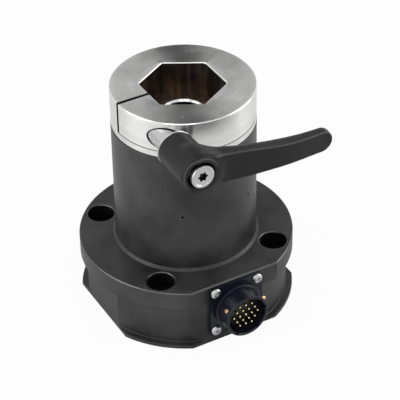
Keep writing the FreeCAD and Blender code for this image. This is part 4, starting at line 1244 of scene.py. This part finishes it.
class SENSOR_OT_screws(bpy.types.Operator):
    """Make the plate's button head screws and the socket screws under the base"""
    bl_idname = "sensor.screws"
    bl_label = "Screws"

    def execute(self, context):
        size = context.scene.sensor_plug
        rim, socket_depth = 0.0003, 0.0009
        dome = [(size.screw_head * math.cos(turn) ** 0.8, rim + (size.screw_height - rim) * math.sin(turn))
                for turn in np.linspace(0, 1.1, 8)]
        shank = -PLATE_LOW.y + size.plate_thickness + PLATE_SEAT
        top = dome[-1][1]
        screw = turned("button", [
            (0.0, -shank), (size.screw_shank, -shank), (size.screw_shank, 0.0), (size.screw_head, 0.0)]
            + dome + [(0.0, top)], steps=64)
        cut(screw, [prism("key", hexagon_corners(size.screw_key), top - socket_depth, top + OVER)])
        screws = repeated("plate_screws", ring_tree(), screw,
                          along_y(0.0, PLATE_LOW.y - size.plate_thickness, PLUG_Z), Count=4,
                          Circle_Radius=size.screw_spacing / math.sqrt(2), First_Angle=math.pi / 4,
                          Material=material_of("plated steel"))
        finish_piece(smooth(screws, 30.0), "housing", "screw_steel", "connector_screws")
        size = context.scene.sensor_base
        low = size.screw_recess - size.screw_head_height
        edge, socket_depth = size.edge, 0.0022
        screw = turned("socket_screw", [
            (0.0, low), (size.screw_head - edge, low), (size.screw_head, low + edge),
            (size.screw_head, size.screw_recess), (size.screw_shank, size.screw_recess),
            (size.screw_shank, size.screw_recess + size.screw_length),
            (0.0, size.screw_recess + size.screw_length)], steps=64)
        cut(screw, [prism("key", hexagon_corners(size.screw_key), low - OVER, low + socket_depth)])
        screws = repeated("foot_screws", ring_tree(), screw, Matrix.Identity(4), Count=8,
                          Circle_Radius=size.screw_circle, First_Angle=math.pi / 8,
                          Material=material_of("black screws"))
        finish_piece(smooth(screws, 30.0), "housing", "black_screw", "base_screws")
        return {"FINISHED"}


class SENSOR_OT_inner_parts(bpy.types.Operator):
    """Give every piece of the frame the finish of its material slot"""
    bl_idname = "sensor.inner_parts"
    bl_label = "Finishes of the inner parts"

    def execute(self, context):
        slots = {part["node"]: part["material_slot"] for part in frame["record"]["subparts"]}
        for name, piece in frame["nodes"].items():
            material = material_of(SLOT_FINISHES[slots[name]])
            if not piece.material_slots:
                piece.data.materials.append(material)
            for place in piece.material_slots:
                place.link = "OBJECT"
                place.material = material
        return {"FINISHED"}


class SENSOR_OT_stage(bpy.types.Operator):
    """Make the floor, the lights and the camera"""
    bl_idname = "sensor.stage"
    bl_label = "Stage"

    def execute(self, context):
        size = context.scene.sensor_stage
        self.make_camera(context, size)
        self.make_world(context, size)
        self.make_floor(size)
        self.make_screen(size)
        self.make_light("left_light", (-0.62, 0.10, 0.32), (0.45, 0.60), size.key_power)
        self.make_light("right_light", (0.62, -0.26, 0.32), (0.45, 0.60), size.key_power)
        self.make_light("top_light", (-0.25, -0.35, 0.80), (0.5, 0.5), size.top_power)
        context.scene.view_settings.view_transform = "Standard"
        return {"FINISHED"}

    def make_camera(self, context, size):
        data = bpy.data.cameras.new("camera")
        data.lens = size.focal_length
        data.sensor_width = 36.0
        data.clip_start = 0.01
        camera = new_piece("camera", data)
        turn = (Matrix.Rotation(size.camera_turn, 4, "Z")
                @ Matrix.Rotation(math.pi / 2 - size.camera_tilt, 4, "X")
                @ Matrix.Rotation(size.camera_roll, 4, "Z"))
        camera.matrix_world = Matrix.Translation((size.camera_x, size.camera_y, size.camera_z)) @ turn
        context.scene.camera = camera

    def make_world(self, context, size):
        """Soft surroundings that the camera, gloss and clear materials see as white."""
        world = bpy.data.worlds.new("surroundings")
        world.use_nodes = True
        context.scene.world = world
        tree = world.node_tree
        tree.nodes.clear()
        colour = (1.0, 1.0, 1.0, 1.0)
        sky, white = (add(tree, "ShaderNodeBackground", {"Color": colour, "Strength": strength})
                      for strength in (size.sky_strength, 1.0))
        seen = add(tree, "ShaderNodeLightPath").outputs
        white_share = seen["Is Camera Ray"]
        for ray in ("Is Glossy Ray", "Is Transmission Ray"):
            white_share = maths(tree, "MAXIMUM", white_share, seen[ray])
        mix = add(tree, "ShaderNodeMixShader", {0: white_share, 1: sky.outputs[0], 2: white.outputs[0]})
        add(tree, "ShaderNodeOutputWorld", {0: mix.outputs[0]})

    def stage_material(self, name, grey, rough):
        material = bpy.data.materials.new(name)
        material.use_nodes = True
        feed(material.node_tree, material.node_tree.nodes["Principled BSDF"], {
            "Base Color": (grey, grey, grey, 1.0), "Roughness": rough})
        return material

    def make_floor(self, size):
        reach = 3.0
        floor = piece_from("floor", [
            (-reach, -reach, 0.0), (reach, -reach, 0.0), (reach, reach, 0.0), (-reach, reach, 0.0)],
            [(0, 1, 2, 3)])
        material = self.stage_material("pale floor", 0.9, 0.9)
        tree = material.node_tree
        glow = add(tree, "ShaderNodeEmission")
        seen = add(tree, "ShaderNodeLightPath").outputs["Is Camera Ray"]
        share = maths(tree, "MULTIPLY", seen, size.floor_glow)
        matt = tree.nodes["Principled BSDF"].outputs[0]
        mix = add(tree, "ShaderNodeMixShader", {0: share, 1: matt, 2: glow.outputs[0]})
        feed(tree, tree.nodes["Material Output"], {"Surface": mix.outputs[0]})
        dress(floor, material)

    def make_screen(self, size):
        """A dark screen that arches from behind the object over its top. Only gloss shows it."""
        reach, steps = 1.5, 24
        across = Vector((math.cos(size.camera_turn), math.sin(size.camera_turn), 0.0))
        across *= size.screen_width / 2
        away = Vector((-math.sin(size.camera_turn), math.cos(size.camera_turn), 0.0))
        vertices = []
        for lift in np.radians(np.linspace(14.0, 128.0, steps)):
            point = away * (reach * math.cos(lift)) + Vector((0.0, 0.0, reach * math.sin(lift)))
            vertices += [point - across, point + across]
        faces = [(2 * step, 2 * step + 1, 2 * step + 3, 2 * step + 2) for step in range(steps - 1)]
        material = self.stage_material("dark screen", 0.02, 1.0)
        screen = dress(piece_from("dark_screen", vertices, faces), material)
        for ray in ("camera", "diffuse", "shadow", "transmission"):
            setattr(screen, "visible_" + ray, False)

    def make_light(self, name, place, size, power):
        data = bpy.data.lights.new(name, "AREA")
        data.shape = "RECTANGLE"
        data.size, data.size_y = size
        data.energy = power
        aim = Vector((0.0, 0.0, 0.06)) - Vector(place)
        turn = aim.to_track_quat("-Z", "Y").to_matrix().to_4x4()
        new_piece(name, data).matrix_world = Matrix.Translation(place) @ turn


OPERATORS = (
    SENSOR_OT_base, SENSOR_OT_sleeve, SENSOR_OT_head, SENSOR_OT_clamp_parts, SENSOR_OT_lever,
    SENSOR_OT_cap_screw, SENSOR_OT_lever_spring, SENSOR_OT_plug_shell, SENSOR_OT_contacts, SENSOR_OT_screws,
    SENSOR_OT_inner_parts, SENSOR_OT_stage,
)


class SENSOR_PT_panel(bpy.types.Panel):
    """Lists the pieces of the torque sensor"""
    bl_idname = "SENSOR_PT_panel"
    bl_label = "Torque Sensor"
    bl_space_type = "VIEW_3D"
    bl_region_type = "UI"
    bl_category = "Torque Sensor"

    def draw(self, context):
        for operator in OPERATORS:
            self.layout.operator(operator.bl_idname)


def register():
    for name, group in GROUPS.items():
        bpy.utils.register_class(group)
        setattr(bpy.types.Scene, name, PointerProperty(type=group))
    for operator in OPERATORS:
        bpy.utils.register_class(operator)
    bpy.utils.register_class(SENSOR_PT_panel)


def unregister():
    bpy.utils.unregister_class(SENSOR_PT_panel)
    for operator in reversed(OPERATORS):
        bpy.utils.unregister_class(operator)
    for name, group in reversed(GROUPS.items()):
        delattr(bpy.types.Scene, name)
        bpy.utils.unregister_class(group)


def main():
    register()
    for operator in OPERATORS:
        family, call = operator.bl_idname.split(".")
        getattr(getattr(bpy.ops, family), call)()


if __name__ == "__main__":
    main()
